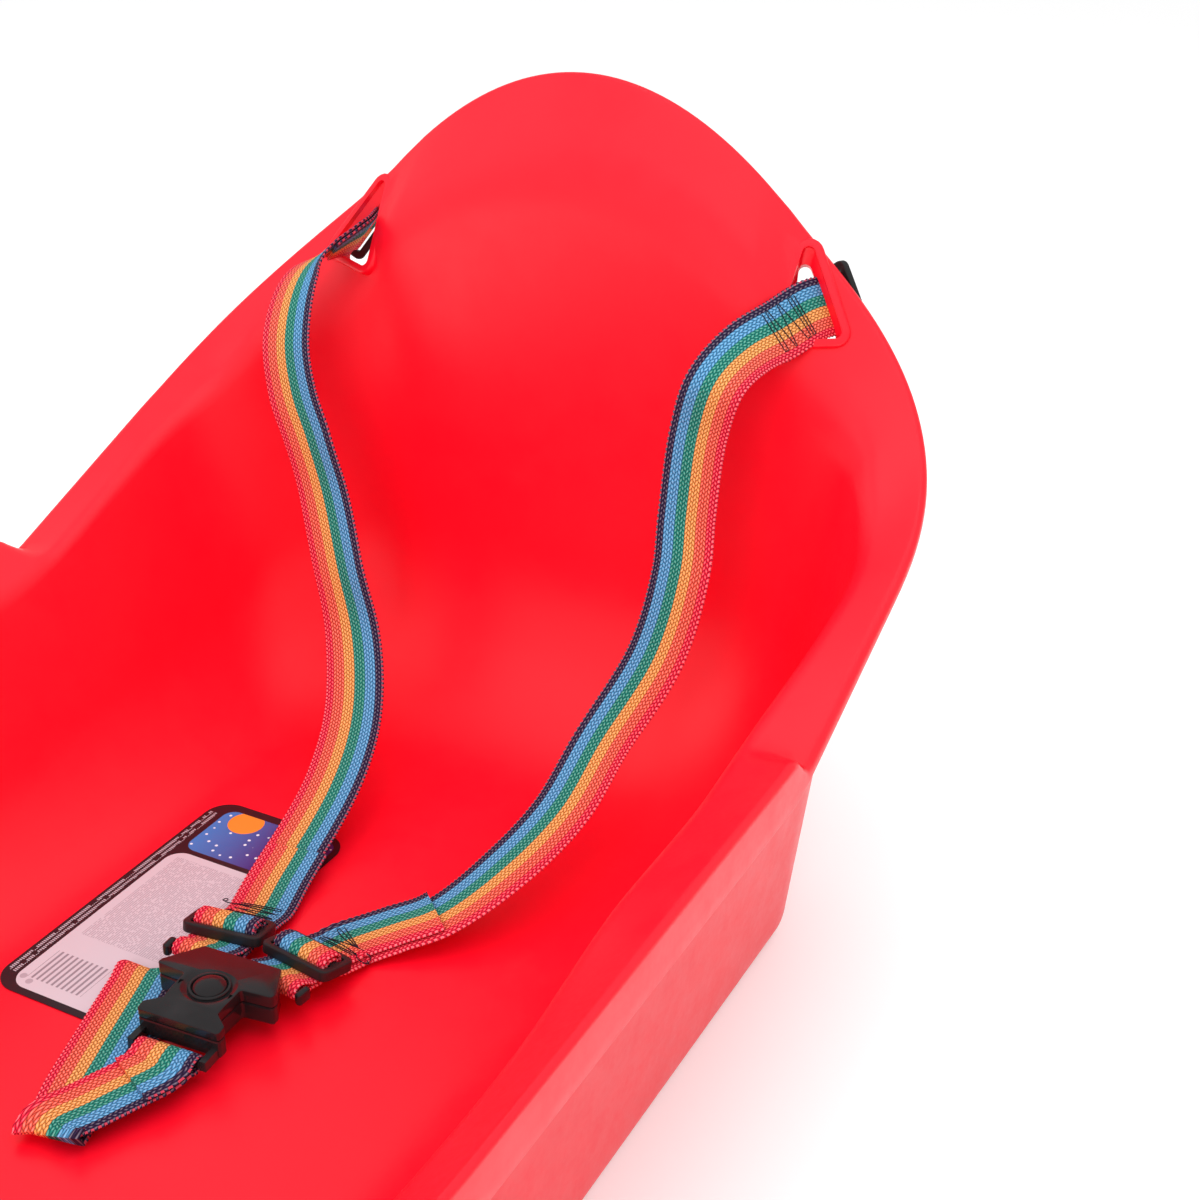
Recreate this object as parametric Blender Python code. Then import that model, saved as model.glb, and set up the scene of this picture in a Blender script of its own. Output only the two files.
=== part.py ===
"""Child's plastic sled: one moulded shell with seat, flange and runners, and a webbing harness.

Metres, +Z up, front of the sled toward -Y, the child's left toward +X, ground at Z = 0.
Driving sizes are in millimetres at the top. Everything else is worked out from them.
"""
import math

import bmesh
import bpy
import numpy as np
from mathutils import Matrix, Vector

MM = 0.001

# overall
LENGTH_REAR = 400.0
LENGTH_FRONT = 400.0
HALF_WIDTH = 200.0
WALL = 3.6
GAP = 0.35

# seat tub, its plan as shares of the sled's length and width
FLOOR_Z = 46.0
FLOOR_HALF_W = HALF_WIDTH * 0.465
FLOOR_REAR_Y = LENGTH_REAR * 0.68
FLOOR_FRONT_Y = -LENGTH_FRONT * 0.58
FLOOR_CORNER = 24.0
FLOOR_NOSE_CORNER = 40.0
TUB_HALF_W = HALF_WIDTH * 0.665
TUB_REAR_Y = LENGTH_REAR * 0.9025
TUB_FRONT_Y = -LENGTH_FRONT * 0.795
TUB_TAPER = 12.0

# rim, measured along the sled from the rear (positive) to the front
STEP_Y = LENGTH_REAR * 0.49
STEP_BEFORE = 7.0
STEP_AFTER = 9.0
ARM_TOP_Z = 165.0
STEP_LOW_Z = 153.0
BACK_SLOPE = 0.43
BACK_TOP_Z = 362.0
BACK_CROWN = 0.0048
BACK_TURN_X = HALF_WIDTH * 0.525
BACK_SIDE_FALL = 0.69
BACK_TURN_LENGTH = 20.0
INNER_LOW_Z = 150.5
INNER_SLOPE = 0.305
INNER_TURN_Y = LENGTH_REAR * 0.435
INNER_TURN_LENGTH = 9.0
INNER_ARM_DROP = 8.5
INNER_BACK_DROP = 42.0
NOSE_RIM_Z = 137.0
DIP_Z = 128.0
FRONT_INNER_Y = -LENGTH_FRONT * 0.875
BACK_FLANGE = 29.5
ARM_FLANGE = 28.5
BACK_TAPER = 7.0
ARM_TAPER = 3.5
NOSE_TAPER = 14.0
RIM_TAPER = 13.0
RIM_ROLL = 2.0
RIM_ROUND_SIDE = 6.0
RIM_ROUND_BACK = 19.0
LIP_ARM = 21.0
LIP_BACK = 6.5

# outer walls, runners and the channel between them
SKIRT_HALF_W = HALF_WIDTH * 0.8
SKIRT_TAPER = 16.0
RUNNER_INNER_W = HALF_WIDTH * 0.52
RUNNER_TAPER = 8.0
RUNNER_FOOT = 13.0
CHANNEL_HALF_W = HALF_WIDTH * 0.48
CHANNEL_ROUND = 14.0
CHANNEL_ROOF_Z = 41.0
CHANNEL_END_Z = 36.0
RUNNER_REAR_Y = LENGTH_REAR * 0.8375
RUNNER_RISE_Y = -LENGTH_FRONT * 0.425
NOSE_BOTTOM_Y = -LENGTH_FRONT * 0.835
NOSE_BOTTOM_Z = 60.0
SKIRT_ROUND = 11.0
RUNNER_ROUND = 6.5
WALL_TOP_Z = 116.0
WALL_TOP_DROP = 18.0
WALL_TOP_REAR = 24.0
WALL_TOP_SIDE = 30.0
WALL_TOP_NOSE = 55.0

# stations where the straight sides end
SIDE_REAR_Y = LENGTH_REAR * 0.725
SIDE_FRONT_Y = -LENGTH_FRONT * 0.65

# strap slots in the back flange, seen from the front, measured down from the top of the back
SLOT_TOP = (HALF_WIDTH * 0.555, BACK_TOP_Z - 60.5)
SLOT_LOW_OUT = (HALF_WIDTH * 0.6875, BACK_TOP_Z - 101.0)
SLOT_LOW_IN = (HALF_WIDTH * 0.54, BACK_TOP_Z - 103.5)
SLOT_CORNER = 3.0
SLOT_LIP_WIDTH = 4.0
SLOT_LIP_HEIGHT = 2.4

# tow rope holes in the front flange
ROPE_HOLE_X = 52.0
ROPE_HOLE_Y = -LENGTH_FRONT * 0.94
ROPE_HOLE_R = 5.5

# webbing
WEB_W = 28.0
WEB_T = 1.5
WEB_STEP = 1.9
BAR_R = 1.7
WRAP_R = 2.9
TAIL_TOP = 46.0
TAIL_LOW = 58.0
TAIL_CROTCH = 30.0
TAIL_BAR = 20.0
STITCH_W = 22.0

# frames that hold the webbing
GLIDE_LONG = 36.0
GLIDE_SHORT = 18.4
GLIDE_T = 4.2
GLIDE_LOW = 4.0
GLIDE_BAR = 4.0
GLIDE_SLOT = 4.3
FRAME_SLOT_LONG = 29.4
ANCHOR_LONG = 37.0
ANCHOR_SHORT = 16.6
ANCHOR_T = 3.4
ANCHOR_SLOT = 2.9

# buckle
HUB = (7.5, 76.5)
HUB_TURN = 0.07
HUB_REAR_W = 36.0
HUB_REAR_L = 20.0
HUB_WING_W = 53.0
HUB_WING_L = 3.0
HUB_WAIST_W = 26.0
HUB_WAIST_L = 16.0
HUB_FOOT_W = 37.0
HUB_FOOT_L = 25.0
HUB_FOOT_T = 4.5
HUB_CORNER = 1.3
HUB_EDGE = 0.9
BASE_REAR_L = 11.5
HUB_LOW_Z = 54.6
HUB_SPLIT_Z = 62.7
HUB_TOP_Z = 68.4
DECK_START_L = 4.0
DECK_SLOPE = 0.21
NOSE_START_L = 11.0
NOSE_SLOPE = 0.12
HUB_WALL = 1.8
WELL_CORNER = 0.6
BUTTON_BACK = 3.0
BUTTON_R = 6.8
BUTTON_FLANGE_R = 8.2
BUTTON_TOP_Z = 69.4
BUTTON_CLEAR = 0.4
STEM_R = 4.6
STEM_LIFT = 5.4
POST_R = 2.0
CROTCH_ARM_W = 2.8
CROTCH_ARM_T = 4.4
CROTCH_ARM_CLEAR = 0.8
POST_RISE = 3.4
TONGUE_MID_X = 3.0
TONGUE_OFFSET = 17.0
TONGUE_SPLAY = math.radians(5.0)
TONGUE_BAR_Y = 97.0
TONGUE_Z = 58.5
TONGUE_T = 3.2
TONGUE_ARM = 2.0
TONGUE_SHY = 0.5
TONGUE_SLOT_LONG = 28.6
TONGUE_NECK = 2.0
BLADE_W = 10.0
BLADE_SHIFT = 3.5
BLADE_END_Y = 80.5
SPRING_R = 3.4
SPRING_WIRE = 0.3
SPRING_TURNS = 3

# crotch strap
CROTCH_X = -6.0
CROTCH_SLOT_Y = 26.0
CROTCH_SLOT_W = 33.0
CROTCH_SLOT_L = 12.0
CROTCH_FOLD = (-34.0, 87.0)
CROTCH_RETURN = (-4.0, -6.0)
CROTCH_BAR_L = 31.5
CROTCH_BAR_Z = 56.0

# where the harness runs, child's left then right: the back part from the slot, the seat part from the
# adjuster with its heights from the ground
BACK_LEFT = [(-6.6, -14.5, -2.1), (-16.6, -31.5, -14.6), (-26.1, -50.5, -30.6), (-33.6, -55.5, -61.6),
             (-30.6, -66.5, -98.6), (-25.1, -78.5, -115.6), (-26.6, -96.5, -142.6)]
SEAT_LEFT = [(60.8, 142.8, 101.0), (57.8, 109.8, 82.0), (46.8, 74.8, 67.0), (30.8, 51.8, 55.0),
             (16.8, 39.8, 50.0)]
BACK_RIGHT = [(1.6, -15.5, -1.6), (-7.4, -36.5, -14.6), (-5.4, -56.5, -39.6), (2.6, -65.5, -64.6),
              (13.6, -70.5, -84.6), (24.6, -75.5, -107.6), (41.6, -89.5, -139.6)]
SEAT_RIGHT = [(-49.4, 167.6, 107.0), (-31.4, 140.6, 84.0), (-19.4, 110.6, 71.0), (-13.4, 76.6, 57.0),
              (-8.4, 44.6, 49.0)]
GLIDE_AT_LEFT = (22.2, 115.2)
GLIDE_AT_RIGHT = (-16.6, 115.4)
GLIDE_TURN_LEFT = -0.14
GLIDE_TURN_RIGHT = 0.155
GLIDE_RUN = 12.0
SLOT_PASS = (HALF_WIDTH * 0.603, BACK_TOP_Z - 85.4)
SLIDER_PULL = (-0.31, -0.93, 0.17)
SLIDER_REACH = 16.0
SLOT_WIDTH_DIR = (0.55, 0.0, -0.835)

# label on the seat
LABEL_C = (-54.0, 133.0)
LABEL_W = 72.0
LABEL_L = 146.0
LABEL_T = 0.25
LABEL_GAP = 0.3
LABEL_CORNER = 12.0

COLOURS = {
    "red": ((0.78, 0.012, 0.03, 1.0), 0.28),
    "black": ((0.012, 0.012, 0.014, 1.0), 0.32),
    "web": ((0.75, 0.30, 0.08, 1.0), 0.85),
    "thread": ((0.02, 0.02, 0.03, 1.0), 0.8),
    "label": ((0.80, 0.74, 0.76, 1.0), 0.45),
    "steel": ((0.55, 0.56, 0.58, 1.0), 0.3),
}


def clear_scene():
    for ob in list(bpy.data.objects):
        bpy.data.objects.remove(ob, do_unlink=True)


def material(node, kind, metallic=0.0):
    mat = bpy.data.materials.new(node + "_mat")
    mat.use_nodes = True
    bsdf = mat.node_tree.nodes["Principled BSDF"]
    bsdf.inputs["Base Color"].default_value = COLOURS[kind][0]
    bsdf.inputs["Roughness"].default_value = COLOURS[kind][1]
    bsdf.inputs["Metallic"].default_value = metallic
    return mat


def smooth_by_angle(ob, degrees=35.0):
    mesh = ob.data
    for poly in mesh.polygons:
        poly.use_smooth = True
    bm = bmesh.new()
    bm.from_mesh(mesh)
    limit = math.radians(degrees)
    for edge in bm.edges:
        if len(edge.link_faces) == 2:
            edge.smooth = edge.calc_face_angle(0.0) < limit
    bm.to_mesh(mesh)
    bm.free()


def add_node(name, verts_mm, faces, kind, metallic=0.0, angle=35.0):
    mesh = bpy.data.meshes.new(name)
    mesh.from_pydata([tuple(c * MM for c in v) for v in verts_mm], [], faces)
    mesh.validate()
    bm = bmesh.new()
    bm.from_mesh(mesh)
    bmesh.ops.recalc_face_normals(bm, faces=bm.faces)
    bm.to_mesh(mesh)
    bm.free()
    ob = bpy.data.objects.new(name, mesh)
    bpy.context.scene.collection.objects.link(ob)
    mesh.materials.append(material(name, kind, metallic))
    smooth_by_angle(ob, angle)
    return ob


def boolean(target, cutter, operation):
    mod = target.modifiers.new(operation.lower(), "BOOLEAN")
    mod.operation = operation
    mod.solver = "EXACT"
    mod.object = cutter
    dg = bpy.context.evaluated_depsgraph_get()
    mesh = bpy.data.meshes.new_from_object(target.evaluated_get(dg))
    target.modifiers.clear()
    old = target.data
    mats = [m for m in old.materials]
    target.data = mesh
    mesh.materials.clear()
    for m in mats:
        mesh.materials.append(m)
    for poly in mesh.polygons:
        poly.material_index = 0
    bpy.data.objects.remove(cutter, do_unlink=True)


def tool(name, verts_mm, faces):
    ob = add_node(name, verts_mm, faces, "black")
    ob.hide_render = True
    ob.display_type = "WIRE"
    return ob


def smoothstep(x, a, b):
    t = np.clip((np.asarray(x, float) - a) / (b - a), 0.0, 1.0)
    return t * t * (3.0 - 2.0 * t)


def unit(v):
    n = np.linalg.norm(v, axis=-1, keepdims=True)
    return v / np.maximum(n, 1e-9)


# The stations around the shell, from the middle of the rear to the middle of the front.
N_REAR = 8
N_REAR_CORNER = 11
N_SIDE = 20
N_FRONT_CORNER = 9
N_FRONT = 4


def side_stations():
    """Heights along the straight side, closer together where the rim steps down."""
    u = np.linspace(0.0, 1.0, N_SIDE + 1)
    y = SIDE_REAR_Y + (SIDE_FRONT_Y - SIDE_REAR_Y) * u
    pull = np.exp(-((y - STEP_Y) / 55.0) ** 2)
    return y + (STEP_Y - y) * 0.55 * pull


def corner_points(half_w, flat_x, y_edge, y_end, power, count):
    th = np.linspace(0.0, math.pi / 2, count + 1)
    c = np.abs(np.cos(th)) ** (2.0 / power)
    s = np.abs(np.sin(th)) ** (2.0 / power)
    return flat_x + (half_w - flat_x) * s, y_edge + (y_end - y_edge) * c


def ring_plan(rear_y, rear_flat, rear_w, front_y, front_flat, front_w, rear_power=2.0,
              front_power=2.0, side_scale=1.0, waist=None):
    """Half of one ring in plan, from the rear middle to the front middle, for x >= 0."""
    ys = side_stations() * side_scale
    xs, yy = [], []
    x = np.linspace(0.0, rear_flat, N_REAR + 1)[:-1]
    xs.append(x)
    yy.append(np.full(len(x), rear_y))
    cx, cy = corner_points(rear_w, rear_flat, ys[0], rear_y, rear_power, N_REAR_CORNER)
    xs.append(cx[:-1])
    yy.append(cy[:-1])
    if waist is None:
        frac = (ys - ys[0]) / (ys[-1] - ys[0])
        sx = rear_w + (front_w - rear_w) * smoothstep(frac, 0.35, 1.0)
    else:
        sx = waist(ys)
    xs.append(sx)
    yy.append(ys)
    fx, fy = corner_points(front_w, front_flat, ys[-1], front_y, front_power, N_FRONT_CORNER)
    xs.append(fx[::-1][1:])
    yy.append(fy[::-1][1:])
    x = np.linspace(front_flat, 0.0, N_FRONT + 1)[1:]
    xs.append(x)
    yy.append(np.full(len(x), front_y))
    return np.concatenate(xs), np.concatenate(yy)


def station_kind():
    """Arrays telling how far each station is toward the rear and toward the front."""
    n = N_REAR + N_REAR_CORNER + N_SIDE + 1 + N_FRONT_CORNER + N_FRONT
    i = np.arange(n, dtype=float)
    rear = np.clip(1.0 - (i - N_REAR) / N_REAR_CORNER, 0.0, 1.0)
    first_front = N_REAR + N_REAR_CORNER + N_SIDE
    front = np.clip((i - first_front) / N_FRONT_CORNER, 0.0, 1.0)
    middle = np.clip(1.0 - i / N_REAR, 0.0, 1.0)
    return rear * rear * (3 - 2 * rear), front * front * (3 - 2 * front), middle


def outer_rim_z(x, y):
    """Height of the rim's outer edge."""
    beyond = np.maximum(x - BACK_TURN_X, 0.0)
    crest = BACK_CROWN * np.minimum(x, BACK_TURN_X) ** 2
    extra = 2.0 * BACK_CROWN * BACK_TURN_X - BACK_SIDE_FALL
    settle = extra * BACK_TURN_LENGTH * (1.0 - np.exp(-beyond / BACK_TURN_LENGTH))
    fall = crest + BACK_SIDE_FALL * beyond + settle
    slope_end = STEP_LOW_Z + BACK_SLOPE * (LENGTH_REAR - STEP_Y - STEP_BEFORE)
    lift = np.maximum(BACK_TOP_Z - slope_end - fall, 0.0)
    back = STEP_LOW_Z + BACK_SLOPE * np.maximum(y - STEP_Y - STEP_BEFORE, 0.0) + lift
    ahead = -y / LENGTH_FRONT
    front = ARM_TOP_Z - (ARM_TOP_Z - DIP_Z) * smoothstep(ahead, 0.175, 0.5875)
    front = front + (NOSE_RIM_Z - DIP_Z) * smoothstep(ahead, 0.625, 1.0)
    return front + (back - front) * smoothstep(y, STEP_Y - STEP_BEFORE, STEP_Y + STEP_AFTER)


def inner_rim_z(y, outer_z, rear):
    """Height of the rim's inner edge, where the seat wall turns into the flange."""
    turn = INNER_TURN_LENGTH
    side = INNER_LOW_Z + INNER_SLOPE * np.log1p(np.exp((y - INNER_TURN_Y) / turn)) * turn
    side = side - INNER_ARM_DROP * (1.0 - smoothstep(y / LENGTH_REAR, -0.025, 0.275))
    front = outer_z - WALL
    side = side + (front - side) * smoothstep(-y / LENGTH_FRONT, 0.15, 0.625)
    return side + (outer_z - INNER_BACK_DROP * rear - side) * smoothstep(rear, 0.0, 0.45)


def outer_width(y):
    return HALF_WIDTH - RIM_TAPER * smoothstep(y / SIDE_FRONT_Y, 0.15, 1.0)


def inner_width(y):
    back = BACK_TAPER * smoothstep(y / SIDE_REAR_Y, 0.6, 1.0)
    arm = ARM_TAPER * (1.0 - smoothstep(y / LENGTH_REAR, 0.05, 0.275))
    nose = NOSE_TAPER * smoothstep(y / SIDE_FRONT_Y, 0.08, 1.0)
    return HALF_WIDTH - ARM_FLANGE + back + arm - nose


def rim_rings():
    rear, _, _ = station_kind()
    ox, oy = ring_plan(LENGTH_REAR - RIM_ROLL, HALF_WIDTH * 0.45, outer_width(SIDE_REAR_Y), -LENGTH_FRONT,
                       HALF_WIDTH * 0.15, outer_width(SIDE_FRONT_Y), rear_power=2.7, front_power=2.2,
                       waist=outer_width)
    oz = outer_rim_z(ox, oy)
    ix, iy = ring_plan(LENGTH_REAR - BACK_FLANGE, HALF_WIDTH * 0.49, inner_width(SIDE_REAR_Y),
                       FRONT_INNER_Y, HALF_WIDTH * 0.2, inner_width(SIDE_FRONT_Y), rear_power=2.3,
                       front_power=2.1, waist=inner_width)
    iz = inner_rim_z(iy, oz, rear)
    return np.stack([ix, iy, iz], 1), np.stack([ox, oy, oz], 1)


def bottom_z(y):
    t = np.clip((RUNNER_RISE_Y - y) / (RUNNER_RISE_Y - NOSE_BOTTOM_Y), 0.0, 1.2)
    return NOSE_BOTTOM_Z * t ** 2


def key_rings():
    """The corner lines of the shell's section, from the seat floor round to the underside."""
    rear, front, middle = station_kind()
    i2, o3 = rim_rings()
    n = len(rear)
    up = np.zeros((n, 3))
    up[:, 2] = 1.0

    fx, fy = ring_plan(FLOOR_REAR_Y, FLOOR_HALF_W - FLOOR_CORNER, FLOOR_HALF_W, FLOOR_FRONT_Y,
                       FLOOR_HALF_W - FLOOR_NOSE_CORNER, FLOOR_HALF_W * 0.945, side_scale=0.865)
    k0 = np.stack([fx, fy, np.full(n, FLOOR_Z)], 1)
    tx, ty = ring_plan(TUB_REAR_Y, TUB_HALF_W * 0.6, TUB_HALF_W, TUB_FRONT_Y, TUB_HALF_W * 0.435,
                       TUB_HALF_W - TUB_TAPER)
    k1 = np.stack([tx, ty, np.full(n, FLOOR_Z)], 1)

    out = o3 - i2
    plan = unit(out * np.array([1.0, 1.0, 0.0]))
    along = unit(out)
    rise = np.sum(along * up, axis=1, keepdims=True)
    level = np.sum(along * plan, axis=1, keepdims=True)
    under = plan * rise - up * level
    lip_dir = unit(-up * (1.0 - rear[:, None]) + under * rear[:, None] + plan * 0.02)
    lip_in = np.cross(np.cross(lip_dir, plan), lip_dir)
    lip_in = -unit(lip_in)
    step = smoothstep(o3[:, 1], STEP_Y - STEP_BEFORE, STEP_Y + STEP_AFTER)
    lip = LIP_ARM + (LIP_BACK - LIP_ARM) * step
    lip = lip * (1.0 - 0.25 * front)
    k4 = o3 + lip_dir * lip[:, None]
    k5 = k4 + lip_in * WALL
    dot = np.sum(under * lip_in, axis=1, keepdims=True)
    k6 = o3 + WALL * (under + lip_in) / (1.0 + dot)
    k7 = i2 + under * WALL * 1.08 + along * WALL * 1.25

    bx, by = ring_plan(LENGTH_REAR - WALL_TOP_REAR, HALF_WIDTH * 0.5, HALF_WIDTH - WALL_TOP_SIDE,
                       WALL_TOP_NOSE - LENGTH_FRONT, HALF_WIDTH * 0.225,
                       HALF_WIDTH - WALL_TOP_SIDE - SKIRT_TAPER, rear_power=2.1)
    k7b = np.stack([bx, by, WALL_TOP_Z - WALL_TOP_DROP * front], 1)
    sx, sy = ring_plan(RUNNER_REAR_Y, SKIRT_HALF_W * 0.625, SKIRT_HALF_W, NOSE_BOTTOM_Y,
                       SKIRT_HALF_W * 0.3125, SKIRT_HALF_W - SKIRT_TAPER)
    channel_end = CHANNEL_END_Z * smoothstep(middle, 0.02, 0.24)
    k8 = np.stack([sx, sy, np.maximum(bottom_z(sy), channel_end)], 1)
    rx, ry = ring_plan(RUNNER_REAR_Y - RUNNER_FOOT, RUNNER_INNER_W * 0.81, RUNNER_INNER_W,
                       NOSE_BOTTOM_Y * 0.862, RUNNER_INNER_W * 0.53, RUNNER_INNER_W - RUNNER_TAPER,
                       side_scale=0.98)
    k9 = np.stack([rx, ry, np.maximum(bottom_z(ry), channel_end)], 1)
    cx, cy = ring_plan(RUNNER_REAR_Y * 0.937, CHANNEL_HALF_W * 0.81, CHANNEL_HALF_W,
                       NOSE_BOTTOM_Y * 0.784, CHANNEL_HALF_W * 0.573, CHANNEL_HALF_W - RUNNER_TAPER,
                       side_scale=0.95)
    k10 = np.stack([cx, cy, np.full(n, CHANNEL_ROOF_Z)], 1)
    k10[:, 2] = np.maximum(k10[:, 2], k9[:, 2] + WALL * 0.56)
    mx, my = ring_plan(RUNNER_REAR_Y * 0.866, CHANNEL_HALF_W * 0.73, CHANNEL_HALF_W - CHANNEL_ROUND,
                       NOSE_BOTTOM_Y * 0.719, CHANNEL_HALF_W * 0.52,
                       CHANNEL_HALF_W - CHANNEL_ROUND - RUNNER_TAPER, side_scale=0.9)
    k11 = np.stack([mx, my, np.full(n, CHANNEL_ROOF_Z)], 1)

    wide = np.linalg.norm(k1 - k0, axis=1)
    wall = np.linalg.norm(i2 - k1, axis=1)
    t1 = np.minimum(wide * 0.97, wall * 0.84)
    t2 = RIM_ROUND_SIDE + (RIM_ROUND_BACK - RIM_ROUND_SIDE) * rear
    t3 = WALL * (1.17 - 0.44 * rear)
    tiny = np.full(n, WALL * 0.25)
    t7 = np.full(n, WALL * 0.5)
    t7b = WALL + (WALL_TOP_REAR - WALL) * rear
    t8 = np.minimum(SKIRT_ROUND, 0.3 * np.linalg.norm(k8 - k7b, axis=1))
    foot = np.linalg.norm(k10 - k9, axis=1)
    t9 = np.minimum(RUNNER_ROUND, 0.42 * foot)
    t10 = np.minimum(RUNNER_ROUND, 0.42 * foot)
    keys = [k0, k1, i2, o3, k4, k5, k6, k7, k7b, k8, k9, k10, k11]
    cuts = [t1, t2, t3, tiny, tiny, tiny, t7, t7b, t8, t9, t10]
    arcs = [9, 3, 3, 1, 1, 1, 1, 3, 4, 2, 2]
    runs = [1, 3, 1, 1, 1, 1, 1, 1, 1, 1, 1, 1]
    return keys, cuts, arcs, runs


def section_lines(keys, cuts, arcs, runs):
    """Rings of the section: straight runs between the key lines, true arcs at each corner."""
    rings = []
    last = keys[0]
    for k in range(1, len(keys) - 1):
        here, before, after = keys[k], keys[k - 1], keys[k + 1]
        cut = cuts[k - 1][:, None]
        a = here + unit(before - here) * cut
        b = here + unit(after - here) * cut
        for j in range(runs[k - 1]):
            rings.append(last + (a - last) * (j / runs[k - 1]))
        cosine = np.sum(unit(before - here) * unit(after - here), axis=1)
        weight = np.sqrt(np.clip((1.0 - cosine) / 2.0, 0.0, 1.0))[:, None]
        for j in range(arcs[k - 1]):
            t = j / arcs[k - 1]
            top = a * (1 - t) ** 2 + here * (2 * t * (1 - t) * weight) + b * t ** 2
            low = (1 - t) ** 2 + 2 * t * (1 - t) * weight + t ** 2
            rings.append(top / low)
        last = b
    end = keys[-1]
    for j in range(runs[-1] + 1):
        rings.append(last + (end - last) * (j / runs[-1]))
    return rings


def mirrored_loop(half):
    """Close half a ring into a whole one by mirroring it in the middle plane."""
    left = half[1:-1][::-1] * np.array([-1.0, 1.0, 1.0])
    return np.concatenate([half, left])


def build_shell():
    rings = [mirrored_loop(r) for r in section_lines(*key_rings())]
    count = len(rings[0])
    verts = np.concatenate(rings)
    faces = []
    for r in range(len(rings) - 1):
        for i in range(count):
            j = (i + 1) % count
            faces.append((r * count + i, r * count + j, (r + 1) * count + j, (r + 1) * count + i))
    faces.append(tuple(range(count))[::-1])
    base = (len(rings) - 1) * count
    faces.append(tuple(base + i for i in range(count)))
    return add_node("sled_shell", verts, faces, "red", angle=50.0)


def flange_plane(side):
    """Origin, normal and in-plane axes of the back flange where the strap slot is."""
    i2, o3 = rim_rings()
    want = (SLOT_TOP[0] + SLOT_LOW_OUT[0]) / 2.0
    sel = np.argmin(np.abs(o3[:N_REAR + N_REAR_CORNER, 0] - want - 6.0))
    p = (i2[sel] + o3[sel]) / 2.0
    across = unit(o3[sel] - i2[sel])
    along = unit(o3[sel + 1] - o3[sel - 1])
    normal = unit(np.cross(along, across))
    if normal[1] > 0:
        normal = -normal
    flip = np.array([side, 1.0, 1.0])
    return p * flip, normal * flip


def on_flange(side, x, z):
    p, n = flange_plane(side)
    y = p[1] - (n[0] * (x * side - p[0]) + n[2] * (z - p[2])) / n[1]
    return np.array([x * side, y, z])


def rounded_polygon(points, radius, seg):
    """Plane polygon with its corners rounded, as a list of 3-D points."""
    pts = [np.array(p, float) for p in points]
    out = []
    n = len(pts)
    for i in range(n):
        here, before, after = pts[i], pts[i - 1], pts[(i + 1) % n]
        u, v = unit(before - here), unit(after - here)
        half = math.acos(float(np.clip(np.dot(u, v), -1, 1))) / 2.0
        cut = radius / math.tan(half)
        a, b = here + u * cut, here + v * cut
        w = math.sin(half)
        for j in range(seg + 1):
            t = j / seg
            top = a * (1 - t) ** 2 + here * (2 * t * (1 - t) * w) + b * t ** 2
            out.append(top / ((1 - t) ** 2 + 2 * t * (1 - t) * w + t ** 2))
    return out


def prism(outline, offset_a, offset_b):
    n = len(outline)
    verts = [p + offset_a for p in outline] + [p + offset_b for p in outline]
    faces = [tuple(range(n))[::-1], tuple(n + i for i in range(n))]
    for i in range(n):
        j = (i + 1) % n
        faces.append((i, j, n + j, n + i))
    return verts, faces


def grow(points, by):
    """Move each corner of a convex plane polygon outward so that every side moves by the same."""
    pts = [np.array(p, float) for p in points]
    out = []
    n = len(pts)
    for i in range(n):
        u, v = unit(pts[i - 1] - pts[i]), unit(pts[(i + 1) % n] - pts[i])
        half = math.acos(float(np.clip(np.dot(u, v), -1, 1))) / 2.0
        out.append(pts[i] - unit(u + v) * (by / math.sin(half)))
    return out


def cut_shell(shell):
    for side in (1.0, -1.0):
        _, normal = flange_plane(side)
        tri = [on_flange(side, *SLOT_TOP), on_flange(side, *SLOT_LOW_OUT), on_flange(side, *SLOT_LOW_IN)]
        collar = rounded_polygon(grow(tri, SLOT_LIP_WIDTH), SLOT_CORNER + SLOT_LIP_WIDTH, 5)
        verts, faces = prism(collar, normal * SLOT_LIP_HEIGHT, normal * -WALL * 0.9)
        boolean(shell, tool("collar_tool", verts, faces), "UNION")
        hole = rounded_polygon(tri, SLOT_CORNER, 5)
        reach = SLOT_LIP_HEIGHT + BACK_FLANGE
        verts, faces = prism(hole, normal * reach, normal * -reach)
        boolean(shell, tool("slot_tool", verts, faces), "DIFFERENCE")
        ring = [np.array([ROPE_HOLE_X * side + ROPE_HOLE_R * math.cos(a), ROPE_HOLE_Y
                          + ROPE_HOLE_R * math.sin(a), 0.0]) for a in np.linspace(0, 2 * math.pi, 33)[:-1]]
        low, high = NOSE_BOTTOM_Z * 1.75, NOSE_RIM_Z + WALL * 6.0
        verts, faces = prism(ring, np.array([0.0, 0.0, low]), np.array([0.0, 0.0, high]))
        boolean(shell, tool("rope_tool", verts, faces), "DIFFERENCE")
    slot = [(CROTCH_X + a * CROTCH_SLOT_W / 2, CROTCH_SLOT_Y + b * CROTCH_SLOT_L / 2, 0.0)
            for a, b in ((-1, -1), (1, -1), (1, 1), (-1, 1))]
    low, high = CHANNEL_ROOF_Z - WALL * 3.0, FLOOR_Z + WALL * 3.0
    verts, faces = prism(rounded_polygon(slot, SLOT_CORNER, 5), np.array([0.0, 0.0, low]),
                         np.array([0.0, 0.0, high]))
    boolean(shell, tool("crotch_tool", verts, faces), "DIFFERENCE")
    smooth_by_angle(shell, 50.0)


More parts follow.
